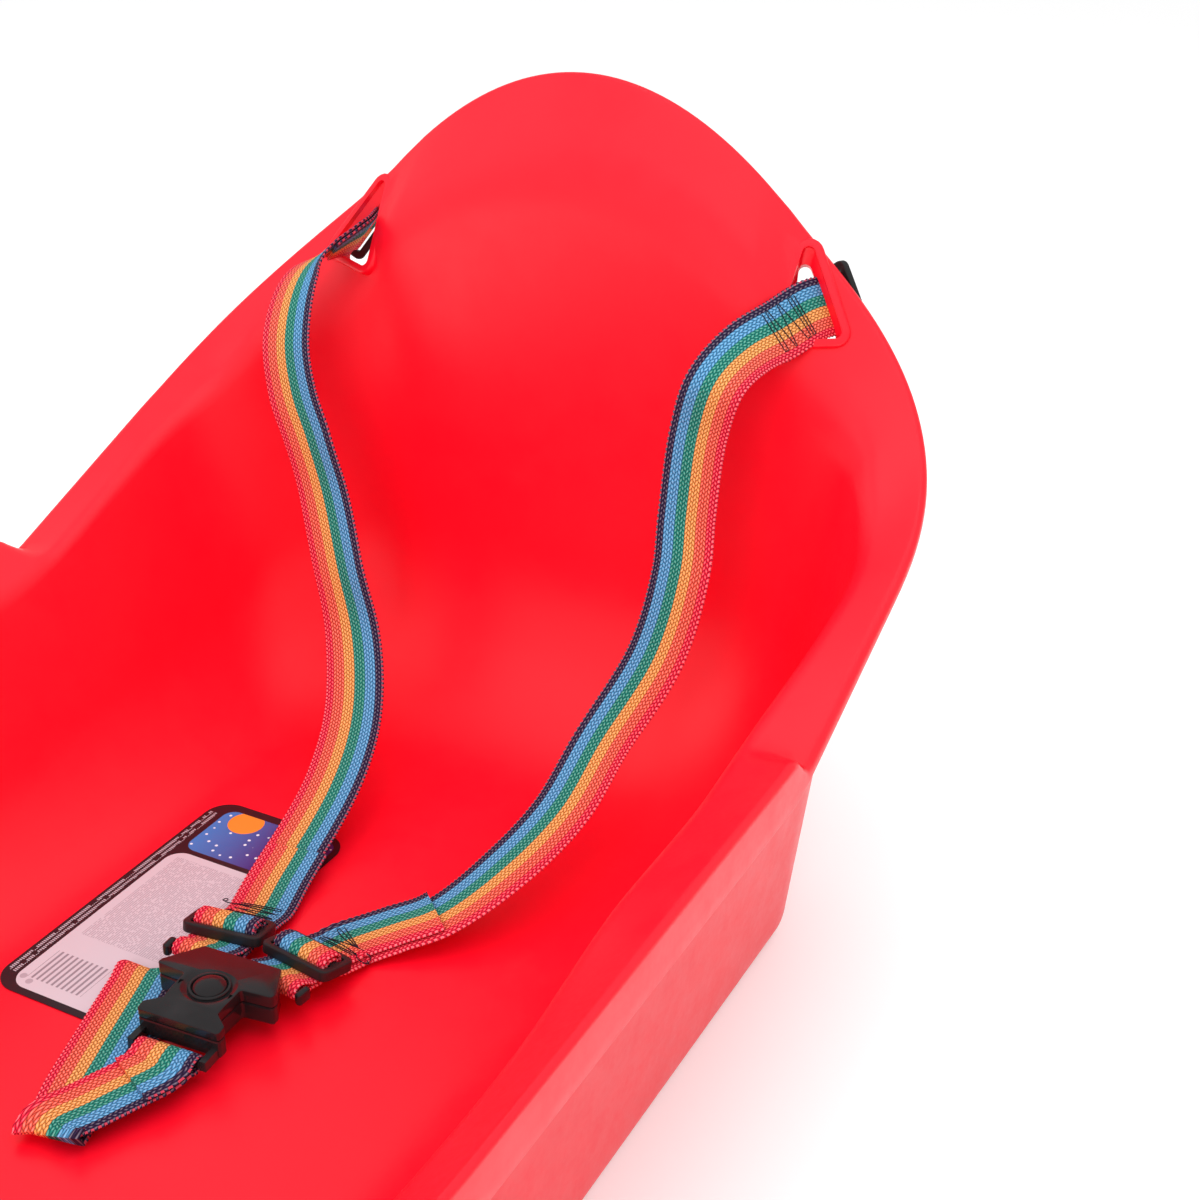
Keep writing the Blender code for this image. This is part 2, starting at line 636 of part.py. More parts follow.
def spline(points, per_span=24):
    """Centripetal Catmull-Rom curve through the points, as a dense polyline."""
    p = np.array(points, float)
    p = np.concatenate([[2 * p[0] - p[1]], p, [2 * p[-1] - p[-2]]])
    out = []
    for i in range(1, len(p) - 2):
        p0, p1, p2, p3 = p[i - 1:i + 3]
        t0 = 0.0
        t1 = t0 + np.linalg.norm(p1 - p0) ** 0.5
        t2 = t1 + np.linalg.norm(p2 - p1) ** 0.5
        t3 = t2 + np.linalg.norm(p3 - p2) ** 0.5
        for t in np.linspace(t1, t2, per_span, endpoint=False):
            a1 = (t1 - t) / (t1 - t0) * p0 + (t - t0) / (t1 - t0) * p1
            a2 = (t2 - t) / (t2 - t1) * p1 + (t - t1) / (t2 - t1) * p2
            a3 = (t3 - t) / (t3 - t2) * p2 + (t - t2) / (t3 - t2) * p3
            b1 = (t2 - t) / (t2 - t0) * a1 + (t - t0) / (t2 - t0) * a2
            b2 = (t3 - t) / (t3 - t1) * a2 + (t - t1) / (t3 - t1) * a3
            out.append((t2 - t) / (t2 - t1) * b1 + (t - t1) / (t2 - t1) * b2)
    out.append(p[-2])
    return np.array(out)


class Guide:
    """A strap's path in space: a curve with the webbing's width direction at every length."""

    def __init__(self, points, widths, level, up):
        self.line = spline(points)
        step = np.linalg.norm(np.diff(self.line, axis=0), axis=1)
        self.s = np.concatenate([[0.0], np.cumsum(step)])
        per = (len(self.line) - 1) // (len(points) - 1)
        self.knots = self.s[::per]
        w = np.array(widths, float)
        tangent = unit(np.gradient(self.line, self.s, axis=0))
        across = np.stack([np.interp(self.s, self.knots, w[:, k]) for k in range(3)], 1)
        flat = unit(np.cross(tangent, np.array([0.0, 0.0, 1.0])) + np.array([1e-6, 0.0, 0.0]))
        flat = flat * np.where(np.sum(flat * across, axis=1, keepdims=True) < 0, -1.0, 1.0)
        share = np.interp(self.s, self.knots, np.array(level, float))[:, None]
        across = across * (1.0 - share) + flat * share
        across = unit(across - tangent * np.sum(across * tangent, axis=1, keepdims=True))
        normal = np.cross(tangent, across)
        if np.dot(normal[-1], up) < 0:
            normal = -normal
        self.tangent, self.across, self.normal = tangent, across, normal

    def frame(self, s):
        s = np.atleast_1d(np.asarray(s, float))
        def pick(table):
            return np.stack([np.interp(s, self.s, table[:, k]) for k in range(3)], 1)
        base, t = pick(self.line), unit(pick(self.tangent))
        extra = np.where(s < 0, s, np.where(s > self.s[-1], s - self.s[-1], 0.0))[:, None]
        return base + t * extra, t, unit(pick(self.across)), unit(pick(self.normal))

    def place(self, s, n):
        base, _, _, normal = self.frame(s)
        return base + normal * np.atleast_1d(n)[:, None]


def rounded_path(points, radii, seg=3, pitch=4.5):
    """Plane polyline with rounded corners and long runs divided up."""
    pts = [np.array(p, float) for p in points]
    out = [pts[0]]

    def run_to(q):
        a = out[-1]
        parts = max(1, int(math.ceil(np.linalg.norm(q - a) / pitch)))
        for j in range(1, parts + 1):
            out.append(a + (q - a) * (j / parts))

    for i in range(1, len(pts) - 1):
        u, v = unit(pts[i - 1] - pts[i]), unit(pts[i + 1] - pts[i])
        half = math.acos(float(np.clip(np.dot(u, v), -1, 1))) / 2.0
        cut = radii[i - 1] / math.tan(half)
        a, b = pts[i] + u * cut, pts[i] + v * cut
        run_to(a)
        w = math.sin(half)
        for j in range(1, seg + 1):
            t = j / seg
            top = a * (1 - t) ** 2 + pts[i] * (2 * t * (1 - t) * w) + b * t ** 2
            out.append(top / ((1 - t) ** 2 + 2 * t * (1 - t) * w + t ** 2))
    run_to(pts[-1])
    return np.array(out)


def webbing(name, guide, path, kind):
    """Closed strip of webbing that follows a path drawn in the guide's own length and height."""
    d = unit(np.gradient(path, axis=0))
    side = np.stack([-d[:, 1], d[:, 0]], 1) * (WEB_T / 2)
    verts, faces = [], []
    for sign_n, sign_b in ((1, 1), (1, -1), (-1, -1), (-1, 1)):
        q = path + side * sign_n
        _, _, across, _ = guide.frame(path[:, 0])
        verts.append(guide.place(q[:, 0], q[:, 1]) + across * (WEB_W / 2 * sign_b))
    n = len(path)
    verts = np.concatenate(verts)
    for i in range(n - 1):
        for k in range(4):
            j = (k + 1) % 4
            faces.append((k * n + i, k * n + i + 1, j * n + i + 1, j * n + i))
    faces.append((0, n, 2 * n, 3 * n))
    faces.append((n - 1, 4 * n - 1, 3 * n - 1, 2 * n - 1))
    return add_node(name, verts, faces, kind, angle=40.0)


def loop_start(tail):
    """Webbing round a bar at length 0: sewn end, round the bar, then the running part."""
    low = WEB_STEP / 2
    pts = [(tail, -low), (8.0, -low), (2.2, -WRAP_R), (-WRAP_R, -WRAP_R), (-WRAP_R, WRAP_R),
           (2.2, WRAP_R), (8.0, low)]
    return pts, [4.0, 4.0, 2.7, 2.7, 4.0, 4.0]


def glide_hat(at, low, reach, top, r_low, r_top, forward):
    pts = [(at - reach, low), (at - reach, top), (at + reach, top), (at + reach, low)]
    radii = [r_low, r_top, r_top, r_low]
    return (pts, radii) if forward else (pts[::-1], radii[::-1])


def shoulder_path(at, bar):
    low, high = WEB_STEP / 2, WEB_STEP * 1.5
    over = GLIDE_LOW + GLIDE_T + 0.4 + WEB_T / 2
    reach = GLIDE_BAR / 2 + 0.4 + WEB_T / 2
    pts, radii = loop_start(TAIL_TOP)
    hat, r = glide_hat(at, low, reach, over, 3.1, 1.2, True)
    pts += hat
    radii += r
    mid = (low + high) / 2
    pts += [(bar - 8.0, low), (bar - 2.2, mid - WRAP_R), (bar + WRAP_R, mid - WRAP_R),
            (bar + WRAP_R, mid + WRAP_R), (bar - 2.2, mid + WRAP_R), (bar - 8.0, high)]
    radii += [4.0, 4.0, 2.7, 2.7, 4.0, 4.0]
    hat, r = glide_hat(at, high, reach + WEB_STEP, over + WEB_STEP, 1.2, 3.1, False)
    pts += hat
    radii += r
    pts.append((at - GLIDE_SHORT / 2 - TAIL_LOW, high))
    return rounded_path(pts, radii)


def slider_point(side):
    passed = on_flange(side, *SLOT_PASS)
    pull = unit(np.array(SLIDER_PULL) * np.array([side, 1.0, 1.0]))
    return passed - pull * SLIDER_REACH, passed, pull


def tongue_frame(side):
    """Bar centre, the way the tongue leaves and the bar's direction."""
    pos = np.array([TONGUE_MID_X + TONGUE_OFFSET * side, TONGUE_BAR_Y, TONGUE_Z])
    away = np.array([math.sin(TONGUE_SPLAY) * side, math.cos(TONGUE_SPLAY), 0.0])
    return pos, away, np.array([away[1], -away[0], 0.0])


def shoulder_guide(side):
    start, passed, pull = slider_point(side)
    width0 = np.array(SLOT_WIDTH_DIR) * np.array([side, 1.0, 1.0])
    if side < 0:
        width0 = -width0
    glide = np.array(GLIDE_AT_LEFT if side > 0 else GLIDE_AT_RIGHT)
    run = [passed + np.array(p) for p in (BACK_LEFT if side > 0 else BACK_RIGHT)]
    run += [np.array([glide[0] + x, glide[1] + y, z]) for x, y, z in (SEAT_LEFT if side > 0 else SEAT_RIGHT)]
    pos, away, bar = tongue_frame(side)
    low = FLOOR_Z + GAP + WEB_T / 2 - WEB_STEP / 2 + 0.4
    turn = GLIDE_TURN_LEFT if side > 0 else GLIDE_TURN_RIGHT
    lead = np.array([math.sin(turn), -math.cos(turn)])
    stretch = [glide + lead * (GLIDE_RUN * f) for f in (-2.2, -1.6, -1.0, -0.5, 0.0, 0.4, 0.8)]
    slope = 0.25
    for _ in range(3):
        end = pos - WEB_STEP * unit(away * slope + np.array([0.0, 0.0, 1.0]))
        flat_run = stretch + [end[:2] + away[:2] * 6.5, end[:2]]
        lengths = np.cumsum([0.0] + [np.linalg.norm(b - a) for a, b in zip(flat_run, flat_run[1:])])
        slope = (end[2] - low) / lengths[-1]
    heights = low + (end[2] - low) * lengths / lengths[-1]
    pts = [start, passed] + run
    pts += [np.array([p[0], p[1], z]) for p, z in zip(flat_run, heights)]
    pts.append(end - away * 8.0 + np.array([0, 0, slope * 8.0]))
    wide = []
    for i in range(len(run)):
        t = smoothstep(i, -1.0, 3.2)
        wide.append(unit(width0 * (1 - t) + np.array([1.0, 0.0, 0.0]) * t))
    widths = [width0, width0] + wide + [np.array([1.0, 0.0, 0.0])] * (len(flat_run) + 1)
    level = [0.0, 0.0] + list(smoothstep(np.arange(len(run)), len(run) - 6.0, len(run) - 2.0))
    level += [1.0] * (len(flat_run) + 1)
    return Guide(pts, widths, level, np.array([0.0, 0.0, 1.0]))


def frame_plate(name, centre, long_dir, short_dir, normal, long_mm, short_mm, thick, slot, bar):
    """Rounded plastic frame with a middle bar and two slots for the webbing."""
    def rect(hl, hs, mid, radius, seg):
        pts = [centre + long_dir * (a * hl) + short_dir * (mid + b * hs)
               for a, b in ((-1, -1), (1, -1), (1, 1), (-1, 1))]
        return rounded_polygon(pts, radius, seg)
    verts, faces = prism(rect(long_mm / 2, short_mm / 2, 0.0, 3.6, 4), normal * (-thick / 2),
                         normal * (thick / 2))
    ob = add_node(name, verts, faces, "black")
    for sign in (1.0, -1.0):
        middle = sign * (bar / 2 + slot / 2)
        verts, faces = prism(rect(FRAME_SLOT_LONG / 2, slot / 2, middle, 0.8, 2), normal * -9.0, normal * 9.0)
        boolean(ob, tool("slot_tool", verts, faces), "DIFFERENCE")
    soften(ob, 0.7, 2)
    return ob


def soften(ob, width_mm, segments):
    mod = ob.modifiers.new("edge", "BEVEL")
    mod.width = width_mm * MM
    mod.segments = segments
    mod.limit_method = "ANGLE"
    mod.angle_limit = math.radians(50.0)
    dg = bpy.context.evaluated_depsgraph_get()
    mesh = bpy.data.meshes.new_from_object(ob.evaluated_get(dg))
    ob.modifiers.clear()
    ob.data = mesh
    smooth_by_angle(ob, 40.0)


def box(name, centre, half, turn=0.0):
    c, s = math.cos(turn), math.sin(turn)
    verts = []
    for dx, dy, dz in [(x, y, z) for z in (-1, 1) for x, y in ((-1, -1), (1, -1), (1, 1), (-1, 1))]:
        x, y = dx * half[0], dy * half[1]
        verts.append((centre[0] + c * x - s * y, centre[1] + s * x + c * y, centre[2] + dz * half[2]))
    faces = [(3, 2, 1, 0), (4, 5, 6, 7), (0, 1, 5, 4), (1, 2, 6, 5), (2, 3, 7, 6), (3, 0, 4, 7)]
    return tool(name, verts, faces)


def turned(profile, centre, seg=32):
    """Solid of revolution about a vertical axis from (radius, z) pairs, top to bottom."""
    verts, faces = [], []
    for r, z in profile:
        for k in range(seg):
            a = 2 * math.pi * k / seg
            verts.append((centre[0] + r * math.cos(a), centre[1] + r * math.sin(a), z))
    for i in range(len(profile) - 1):
        for k in range(seg):
            j = (k + 1) % seg
            faces.append((i * seg + k, i * seg + j, (i + 1) * seg + j, (i + 1) * seg + k))
    faces.append(tuple(range(seg))[::-1])
    faces.append(tuple((len(profile) - 1) * seg + k for k in range(seg)))
    return verts, faces


def bar_between(a, b, radius, seg=14):
    a, b = np.array(a, float), np.array(b, float)
    t = unit(b - a)
    u = unit(np.cross(t, np.array([0.0, 0.0, 1.0])))
    v = np.cross(t, u)
    verts = []
    for p in (a, b):
        for k in range(seg):
            an = 2 * math.pi * k / seg
            verts.append(p + (u * math.cos(an) + v * math.sin(an)) * radius)
    faces = [tuple(range(seg))[::-1], tuple(seg + k for k in range(seg))]
    for k in range(seg):
        j = (k + 1) % seg
        faces.append((k, j, seg + j, seg + k))
    return verts, faces


def hub_point(u, v, z=0.0):
    """Point of the buckle: u toward the child's left, v toward the rear of the sled."""
    c, s = math.cos(HUB_TURN), math.sin(HUB_TURN)
    return np.array([HUB[0] + u * c - v * s, HUB[1] + u * s + v * c, z])


def button_centre():
    return hub_point(0.0, -BUTTON_BACK)


def hub_outline(rear_l):
    """Plan of the buckle: a wide rear with wings, a waist at the button and a foot for the strap bar."""
    slope = (HUB_WING_W - HUB_REAR_W) / 2.0 / (HUB_REAR_L - HUB_WING_L)
    rear = HUB_REAR_W / 2.0 + (HUB_REAR_L - rear_l) * slope
    wing, waist, foot = HUB_WING_W / 2.0, HUB_WAIST_W / 2.0, HUB_FOOT_W / 2.0
    half = [(rear, rear_l), (wing, HUB_WING_L), (wing, 0.0), (waist, -TONGUE_SHY * 2.0),
            (waist - TONGUE_SHY, -HUB_WAIST_L), (foot, HUB_FOOT_T - HUB_FOOT_L), (foot, -HUB_FOOT_L)]
    pts = [hub_point(u, v) for u, v in half] + [hub_point(-u, v) for u, v in half[::-1]]
    return rounded_polygon(pts, HUB_CORNER, 3)


def hub_slab(name, rear_l, low, high):
    """One half of the buckle's body with its edges softened."""
    up = np.array([0.0, 0.0, 1.0])
    verts, faces = prism(hub_outline(rear_l), up * low, up * high)
    return add_node(name, verts, faces, "black")


def hub_hollow(name, rear_l, low, high):
    """Room inside the buckle for the blades of the tongues and the button."""
    rear = HUB_REAR_W / 2.0 - HUB_WALL
    wing, waist = HUB_WING_W / 2.0 - HUB_WALL * 2.0, HUB_WAIST_W / 2.0 - HUB_WALL
    half = [(rear, rear_l), (wing, HUB_WING_L + HUB_WALL), (waist, HUB_WALL), (waist - HUB_WALL, -HUB_WAIST_L)]
    pts = [hub_point(u, v) for u, v in half] + [hub_point(-u, v) for u, v in half[::-1]]
    up = np.array([0.0, 0.0, 1.0])
    verts, faces = prism(rounded_polygon(pts, WELL_CORNER, 2), up * low, up * high)
    return tool(name, verts, faces)


def slope_tool(name, start, sign, slope):
    """Wedge that planes the buckle's top down toward one end."""
    wide, long = HUB_WING_W, HUB_FOOT_L * 2.0
    verts = []
    for u in (-wide, wide):
        for v, z in ((start, HUB_TOP_Z), (start + sign * long, HUB_TOP_Z - slope * long),
                     (start + sign * long, HUB_TOP_Z * 1.2), (start, HUB_TOP_Z * 1.2)):
            verts.append(hub_point(u, v, z))
    faces = [(0, 1, 2, 3), (7, 6, 5, 4), (0, 4, 5, 1), (1, 5, 6, 2), (2, 6, 7, 3), (3, 7, 4, 0)]
    return tool(name, verts, faces)


def build_base():
    base = hub_slab("buckle_base", BASE_REAR_L, HUB_LOW_Z, HUB_SPLIT_Z)
    soften(base, HUB_EDGE, 2)
    floor = TONGUE_Z - TONGUE_T / 2 - TONGUE_SHY
    boolean(base, hub_hollow("well_tool", BASE_REAR_L - HUB_WALL, floor, HUB_SPLIT_Z * 1.1), "DIFFERENCE")
    for side in (1.0, -1.0):
        pos, away, bar = tongue_frame(side)
        deep = (TONGUE_BAR_Y - BLADE_END_Y) / 2 + TONGUE_SHY
        mouth = pos - away * deep - bar * side * BLADE_SHIFT
        height = TONGUE_T / 2 + TONGUE_SHY
        cut = box("mouth_tool", (mouth[0], mouth[1], floor + height),
                  (BLADE_W / 2 + TONGUE_SHY, deep, height), -TONGUE_SPLAY * side)
        boolean(base, cut, "DIFFERENCE")
    centre = button_centre()
    post = tool("post_tool", *turned([(POST_R, floor + POST_RISE), (POST_R, floor - TONGUE_SHY)], centre, 20))
    boolean(base, post, "UNION")
    arm_half = WEB_W / 2 + CROTCH_ARM_CLEAR + CROTCH_ARM_W / 2
    long = CROTCH_BAR_L + BAR_R - HUB_FOOT_L + HUB_EDGE * 2.0
    for side in (1.0, -1.0):
        middle = hub_point(arm_half * side, -CROTCH_BAR_L - BAR_R + long / 2, CROTCH_BAR_Z + BAR_R / 2)
        arm = box("arm_tool", middle, (CROTCH_ARM_W / 2, long / 2, CROTCH_ARM_T / 2), HUB_TURN)
        boolean(base, arm, "UNION")
    verts, faces = bar_between(hub_point(-arm_half, -CROTCH_BAR_L, CROTCH_BAR_Z),
                               hub_point(arm_half, -CROTCH_BAR_L, CROTCH_BAR_Z), BAR_R)
    boolean(base, tool("bar_tool", verts, faces), "UNION")
    smooth_by_angle(base, 40.0)


def build_cover():
    low = HUB_SPLIT_Z + GAP
    cover = hub_slab("buckle_cover", HUB_REAR_L, low, HUB_TOP_Z)
    boolean(cover, slope_tool("deck_tool", DECK_START_L, 1.0, DECK_SLOPE), "DIFFERENCE")
    boolean(cover, slope_tool("nose_tool", -NOSE_START_L, -1.0, NOSE_SLOPE), "DIFFERENCE")
    soften(cover, HUB_EDGE, 2)
    centre = button_centre()
    roof = HUB_TOP_Z - HUB_WALL
    boolean(cover, hub_hollow("cavity_tool", BASE_REAR_L - HUB_WALL, low * 0.9, roof - HUB_WALL), "DIFFERENCE")
    room = turned([(BUTTON_FLANGE_R + BUTTON_CLEAR * 2.0, roof), (BUTTON_FLANGE_R + BUTTON_CLEAR * 2.0, low * 0.9)],
                  centre, 32)
    boolean(cover, tool("room_tool", *room), "DIFFERENCE")
    wide = BUTTON_R + BUTTON_CLEAR
    hole = turned([(wide + HUB_WALL, HUB_TOP_Z * 1.01), (wide, HUB_TOP_Z - HUB_WALL * 0.7), (wide, low)],
                  centre, 32)
    boolean(cover, tool("hole_tool", *hole), "DIFFERENCE")
    smooth_by_angle(cover, 40.0)


def build_button():
    floor = TONGUE_Z - TONGUE_T / 2 - TONGUE_SHY
    centre = button_centre()
    under = HUB_TOP_Z - HUB_WALL - GAP
    top, foot = BUTTON_TOP_Z, floor + STEM_LIFT
    profile = [(BUTTON_R * 0.3, top), (BUTTON_R * 0.62, top - 0.35), (BUTTON_R * 0.87, top - 1.0),
               (BUTTON_R, top - 2.0), (BUTTON_R, under), (BUTTON_FLANGE_R, under),
               (BUTTON_FLANGE_R, under - HUB_WALL), (STEM_R, under - HUB_WALL), (STEM_R, foot)]
    verts, faces = turned(profile, centre, 32)
    button = add_node("release_button", verts, faces, "black")
    bore = turned([(POST_R + TONGUE_SHY, under - HUB_WALL / 3), (POST_R + TONGUE_SHY, floor)], centre, 20)
    boolean(button, tool("bore_tool", *bore), "DIFFERENCE")
    smooth_by_angle(button, 40.0)

    clear = SPRING_WIRE * 1.5
    helix = []
    steps = SPRING_TURNS * 14
    for k in range(steps + 1):
        a = 2 * math.pi * SPRING_TURNS * k / steps
        rise = floor + clear + (STEM_LIFT - 2.0 * clear) * k / steps
        helix.append((centre[0] + SPRING_R * math.cos(a), centre[1] + SPRING_R * math.sin(a), rise))
    verts, faces = tube(np.array(helix), SPRING_WIRE, 6)
    add_node("button_spring", verts, faces, "steel", 1.0, angle=70.0)


def tube(line, radius, sides):
    t = unit(np.gradient(line, axis=0))
    up = np.array([0.0, 0.0, 1.0])
    u = unit(np.cross(t, up))
    v = np.cross(t, u)
    verts, faces = [], []
    for p, a, b in zip(line, u, v):
        for k in range(sides):
            an = 2 * math.pi * k / sides
            verts.append(p + (a * math.cos(an) + b * math.sin(an)) * radius)
    for i in range(len(line) - 1):
        for k in range(sides):
            j = (k + 1) % sides
            faces.append((i * sides + k, i * sides + j, (i + 1) * sides + j, (i + 1) * sides + k))
    faces.append(tuple(range(sides))[::-1])
    faces.append(tuple((len(line) - 1) * sides + k for k in range(sides)))
    return verts, faces


def build_tongue(name, side):
    pos, away, bar = tongue_frame(side)
    arm = TONGUE_SLOT_LONG / 2
    neck = WRAP_R + WEB_T / 2 + TONGUE_SHY
    length = (pos[1] - BLADE_END_Y) / away[1]
    shift = -side * BLADE_SHIFT
    half = BLADE_W / 2

    def at(a, b):
        return pos + bar * a - away * b

    outer, end, deep = arm + TONGUE_ARM, BAR_R + TONGUE_SHY, neck + TONGUE_NECK
    outline = [at(-outer, -end), at(-arm, -end), at(-arm, neck), at(arm, neck), at(arm, -end),
               at(outer, -end), at(outer, neck), at(shift + half, deep), at(shift + half, length - half / 2),
               at(shift + half / 2, length), at(shift - half / 2, length),
               at(shift - half, length - half / 2), at(shift - half, deep), at(-outer, neck)]
    up = np.array([0.0, 0.0, TONGUE_T / 2])
    verts, faces = prism(outline, -up, up)
    ob = add_node(name, verts, faces, "black")
    verts, faces = bar_between(at(TONGUE_SHY - outer, 0.0), at(outer - TONGUE_SHY, 0.0), BAR_R)
    boolean(ob, tool("bar_tool", verts, faces), "UNION")
    notch = at(shift, length - half)
    cut = box("notch_tool", tuple(notch), (half / 2, half / 4, TONGUE_T), -TONGUE_SPLAY * side)
    boolean(ob, cut, "DIFFERENCE")
    smooth_by_angle(ob, 40.0)


def build_shoulder(side, tag):
    guide = shoulder_guide(side)
    bar_at = guide.knots[-2]
    glide_at = guide.knots[-6]
    webbing("shoulder_strap_" + tag, guide, shoulder_path(glide_at, bar_at), "web")
    base, t, across, normal = (v[0] for v in guide.frame(glide_at))
    middle = base + normal * (GLIDE_LOW + GLIDE_T / 2)
    frame_plate("strap_adjuster_" + tag, middle, across, t, normal, GLIDE_LONG, GLIDE_SHORT, GLIDE_T,
                GLIDE_SLOT, GLIDE_BAR)
    base, t, across, normal = (v[0] for v in guide.frame(0.0))
    frame_plate("back_slider_" + tag, base, across, normal, t, ANCHOR_LONG, ANCHOR_SHORT, ANCHOR_T,
                ANCHOR_SLOT, 2 * BAR_R)
    for label, s_mid, n_mid, length in (
            ("stitching_upper_", 28.0, WEB_STEP / 2 + WEB_T / 2, 20.0),
            ("stitching_lower_", glide_at - GLIDE_SHORT / 2 - 7.0, WEB_STEP * 1.5 + WEB_T / 2, 6.5)):
        stitch_pad(label + tag, guide, s_mid, n_mid, length, STITCH_W)


def stitch_pad(name, guide, s_mid, n_low, length, wide):
    """Thin pad of thread that lies on the webbing."""
    s = np.linspace(s_mid - length / 2, s_mid + length / 2, 9)
    verts = []
    for n in (n_low + 0.35, n_low + 0.65):
        for sign in (1, -1):
            _, _, across, _ = guide.frame(s)
            verts.append(guide.place(s, np.full(len(s), n)) + across * (wide / 2 * sign))
    verts = np.concatenate(verts)
    c = len(s)
    faces = []
    loop = [0, c, 3 * c, 2 * c]
    for i in range(c - 1):
        for k in range(4):
            a, b = loop[k], loop[(k + 1) % 4]
            faces.append((a + i, a + i + 1, b + i + 1, b + i))
    faces.append(tuple(loop))
    faces.append(tuple(x + c - 1 for x in loop[::-1]))
    add_node(name, verts, faces, "thread")


def crotch_guide():
    """From the slot back to a fold, forward on top of itself to a second fold, then to the buckle."""
    x, y = CROTCH_X, CROTCH_SLOT_Y
    fx, fy = CROTCH_FOLD
    rx, ry = CROTCH_RETURN
    low = FLOOR_Z + LABEL_GAP + LABEL_T + GAP + 0.1 + WEB_T / 2 + WEB_STEP / 2
    anchor_z = CHANNEL_ROOF_Z - GAP - ANCHOR_T / 2
    top = low + WEB_STEP * 2.05
    end_z = CROTCH_BAR_Z - WEB_STEP
    bar, past = hub_point(0.0, -CROTCH_BAR_L), hub_point(0.0, WEB_STEP * 3.5 - CROTCH_BAR_L)
    near = hub_point(0.0, -WEB_STEP * 5.0 - CROTCH_BAR_L)
    pts = [(x, y, anchor_z), (x, y, (anchor_z + FLOOR_Z) / 2 + WEB_T), (x - 0.4, y + 1.8, FLOOR_Z + 1.4)]
    for share, z in ((0.13, low), (0.5, low), (0.89, low + 0.1), (1.0, low + WEB_STEP * 1.1)):
        pts.append((x + (fx - x) * share, y + (fy - y) * share, z))
    for share, z in ((0.045, top + 0.15), (0.15, top), (0.5, top), (0.75, top - 0.4), (0.9, low + 1.9),
                     (1.0, low + WEB_STEP * 1.6), (0.955, low + WEB_STEP * 2.2)):
        pts.append((fx + (rx - fx) * share, fy + (ry - fy) * share, z))
    last = np.array(pts[-1])
    for share in (0.3, 0.65):
        pts.append(tuple(last[:2] + (near[:2] - last[:2]) * share) + (last[2] + (end_z - last[2]) * share,))
    pts += [(near[0], near[1], end_z), ((near[0] + bar[0]) / 2, (near[1] + bar[1]) / 2, end_z),
            (bar[0], bar[1], end_z), (past[0], past[1], end_z + 1.0)]
    widths = [(1.0, 0.0, 0.0)] * len(pts)
    return Guide(pts, widths, [0.0] * len(pts), np.array([0.0, 0.0, 1.0]))


def build_crotch():
    guide = crotch_guide()
    low, high = WEB_STEP / 2, WEB_STEP * 1.5
    bar = guide.knots[-2]
    mid = (low + high) / 2
    pts, radii = loop_start(TAIL_CROTCH)
    webbing_pts = pts + [(bar - 8.0, low), (bar - 2.2, mid - WRAP_R), (bar + WRAP_R, mid - WRAP_R),
                         (bar + WRAP_R, mid + WRAP_R), (bar - 2.2, mid + WRAP_R), (bar - 8.0, high),
                         (bar - TAIL_BAR, high)]
    radii = radii + [4.0, 4.0, 2.7, 2.7, 4.0, 4.0]
    webbing("crotch_strap", guide, rounded_path(webbing_pts, radii, pitch=3.0), "web")
    base, t, across, normal = (v[0] for v in guide.frame(0.0))
    frame_plate("crotch_anchor", base, across, normal, t, ANCHOR_LONG, ANCHOR_SHORT, ANCHOR_T,
                ANCHOR_SLOT, 2 * BAR_R)


def build_label():
    pts = [(LABEL_C[0] + a * LABEL_W / 2, LABEL_C[1] + b * LABEL_L / 2, FLOOR_Z + LABEL_GAP)
           for a, b in ((-1, -1), (1, -1), (1, 1), (-1, 1))]
    verts, faces = prism(rounded_polygon(pts, LABEL_CORNER, 5), np.zeros(3), np.array([0.0, 0.0, LABEL_T]))
    add_node("seat_label", verts, faces, "label")


def centre_on_ground():
    """Put the origin under the middle of the whole part, on the ground."""
    nodes = [ob for ob in bpy.data.objects if ob.type == "MESH"]
    low = Vector([min(v.co[k] for ob in nodes for v in ob.data.vertices) for k in range(3)])
    high = Vector([max(v.co[k] for ob in nodes for v in ob.data.vertices) for k in range(3)])
    shift = Vector((0.0, -(low.y + high.y) / 2.0, -low.z))
    for ob in nodes:
        ob.data.transform(Matrix.Translation(shift))
    return shift


def origin_on_joint(name, point_mm, shift):
    """Move a moving piece's origin onto its joint without moving the piece."""
    ob = bpy.data.objects[name]
    origin = Vector(point_mm) * MM + shift
    ob.data.transform(Matrix.Translation(-origin))
    ob.location = origin


def main():
    clear_scene()
    shell = build_shell()
    cut_shell(shell)
    for side, tag in ((1.0, "left"), (-1.0, "right")):
        build_shoulder(side, tag)
        build_tongue("buckle_tongue_" + tag, side)
    build_crotch()
    build_base()
    build_cover()
    build_button()
    build_label()
    shift = centre_on_ground()
    for side, tag in ((1.0, "left"), (-1.0, "right")):
        origin_on_joint("buckle_tongue_" + tag, tongue_frame(side)[0], shift)
    centre = button_centre()
    origin_on_joint("release_button", (centre[0], centre[1], BUTTON_TOP_Z), shift)


main()
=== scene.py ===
"""Plastic baby sled: the finish of the moulded shell, the rainbow harness and its black fittings."""
import math

import bpy
import numpy as np
from mathutils import Matrix, Vector


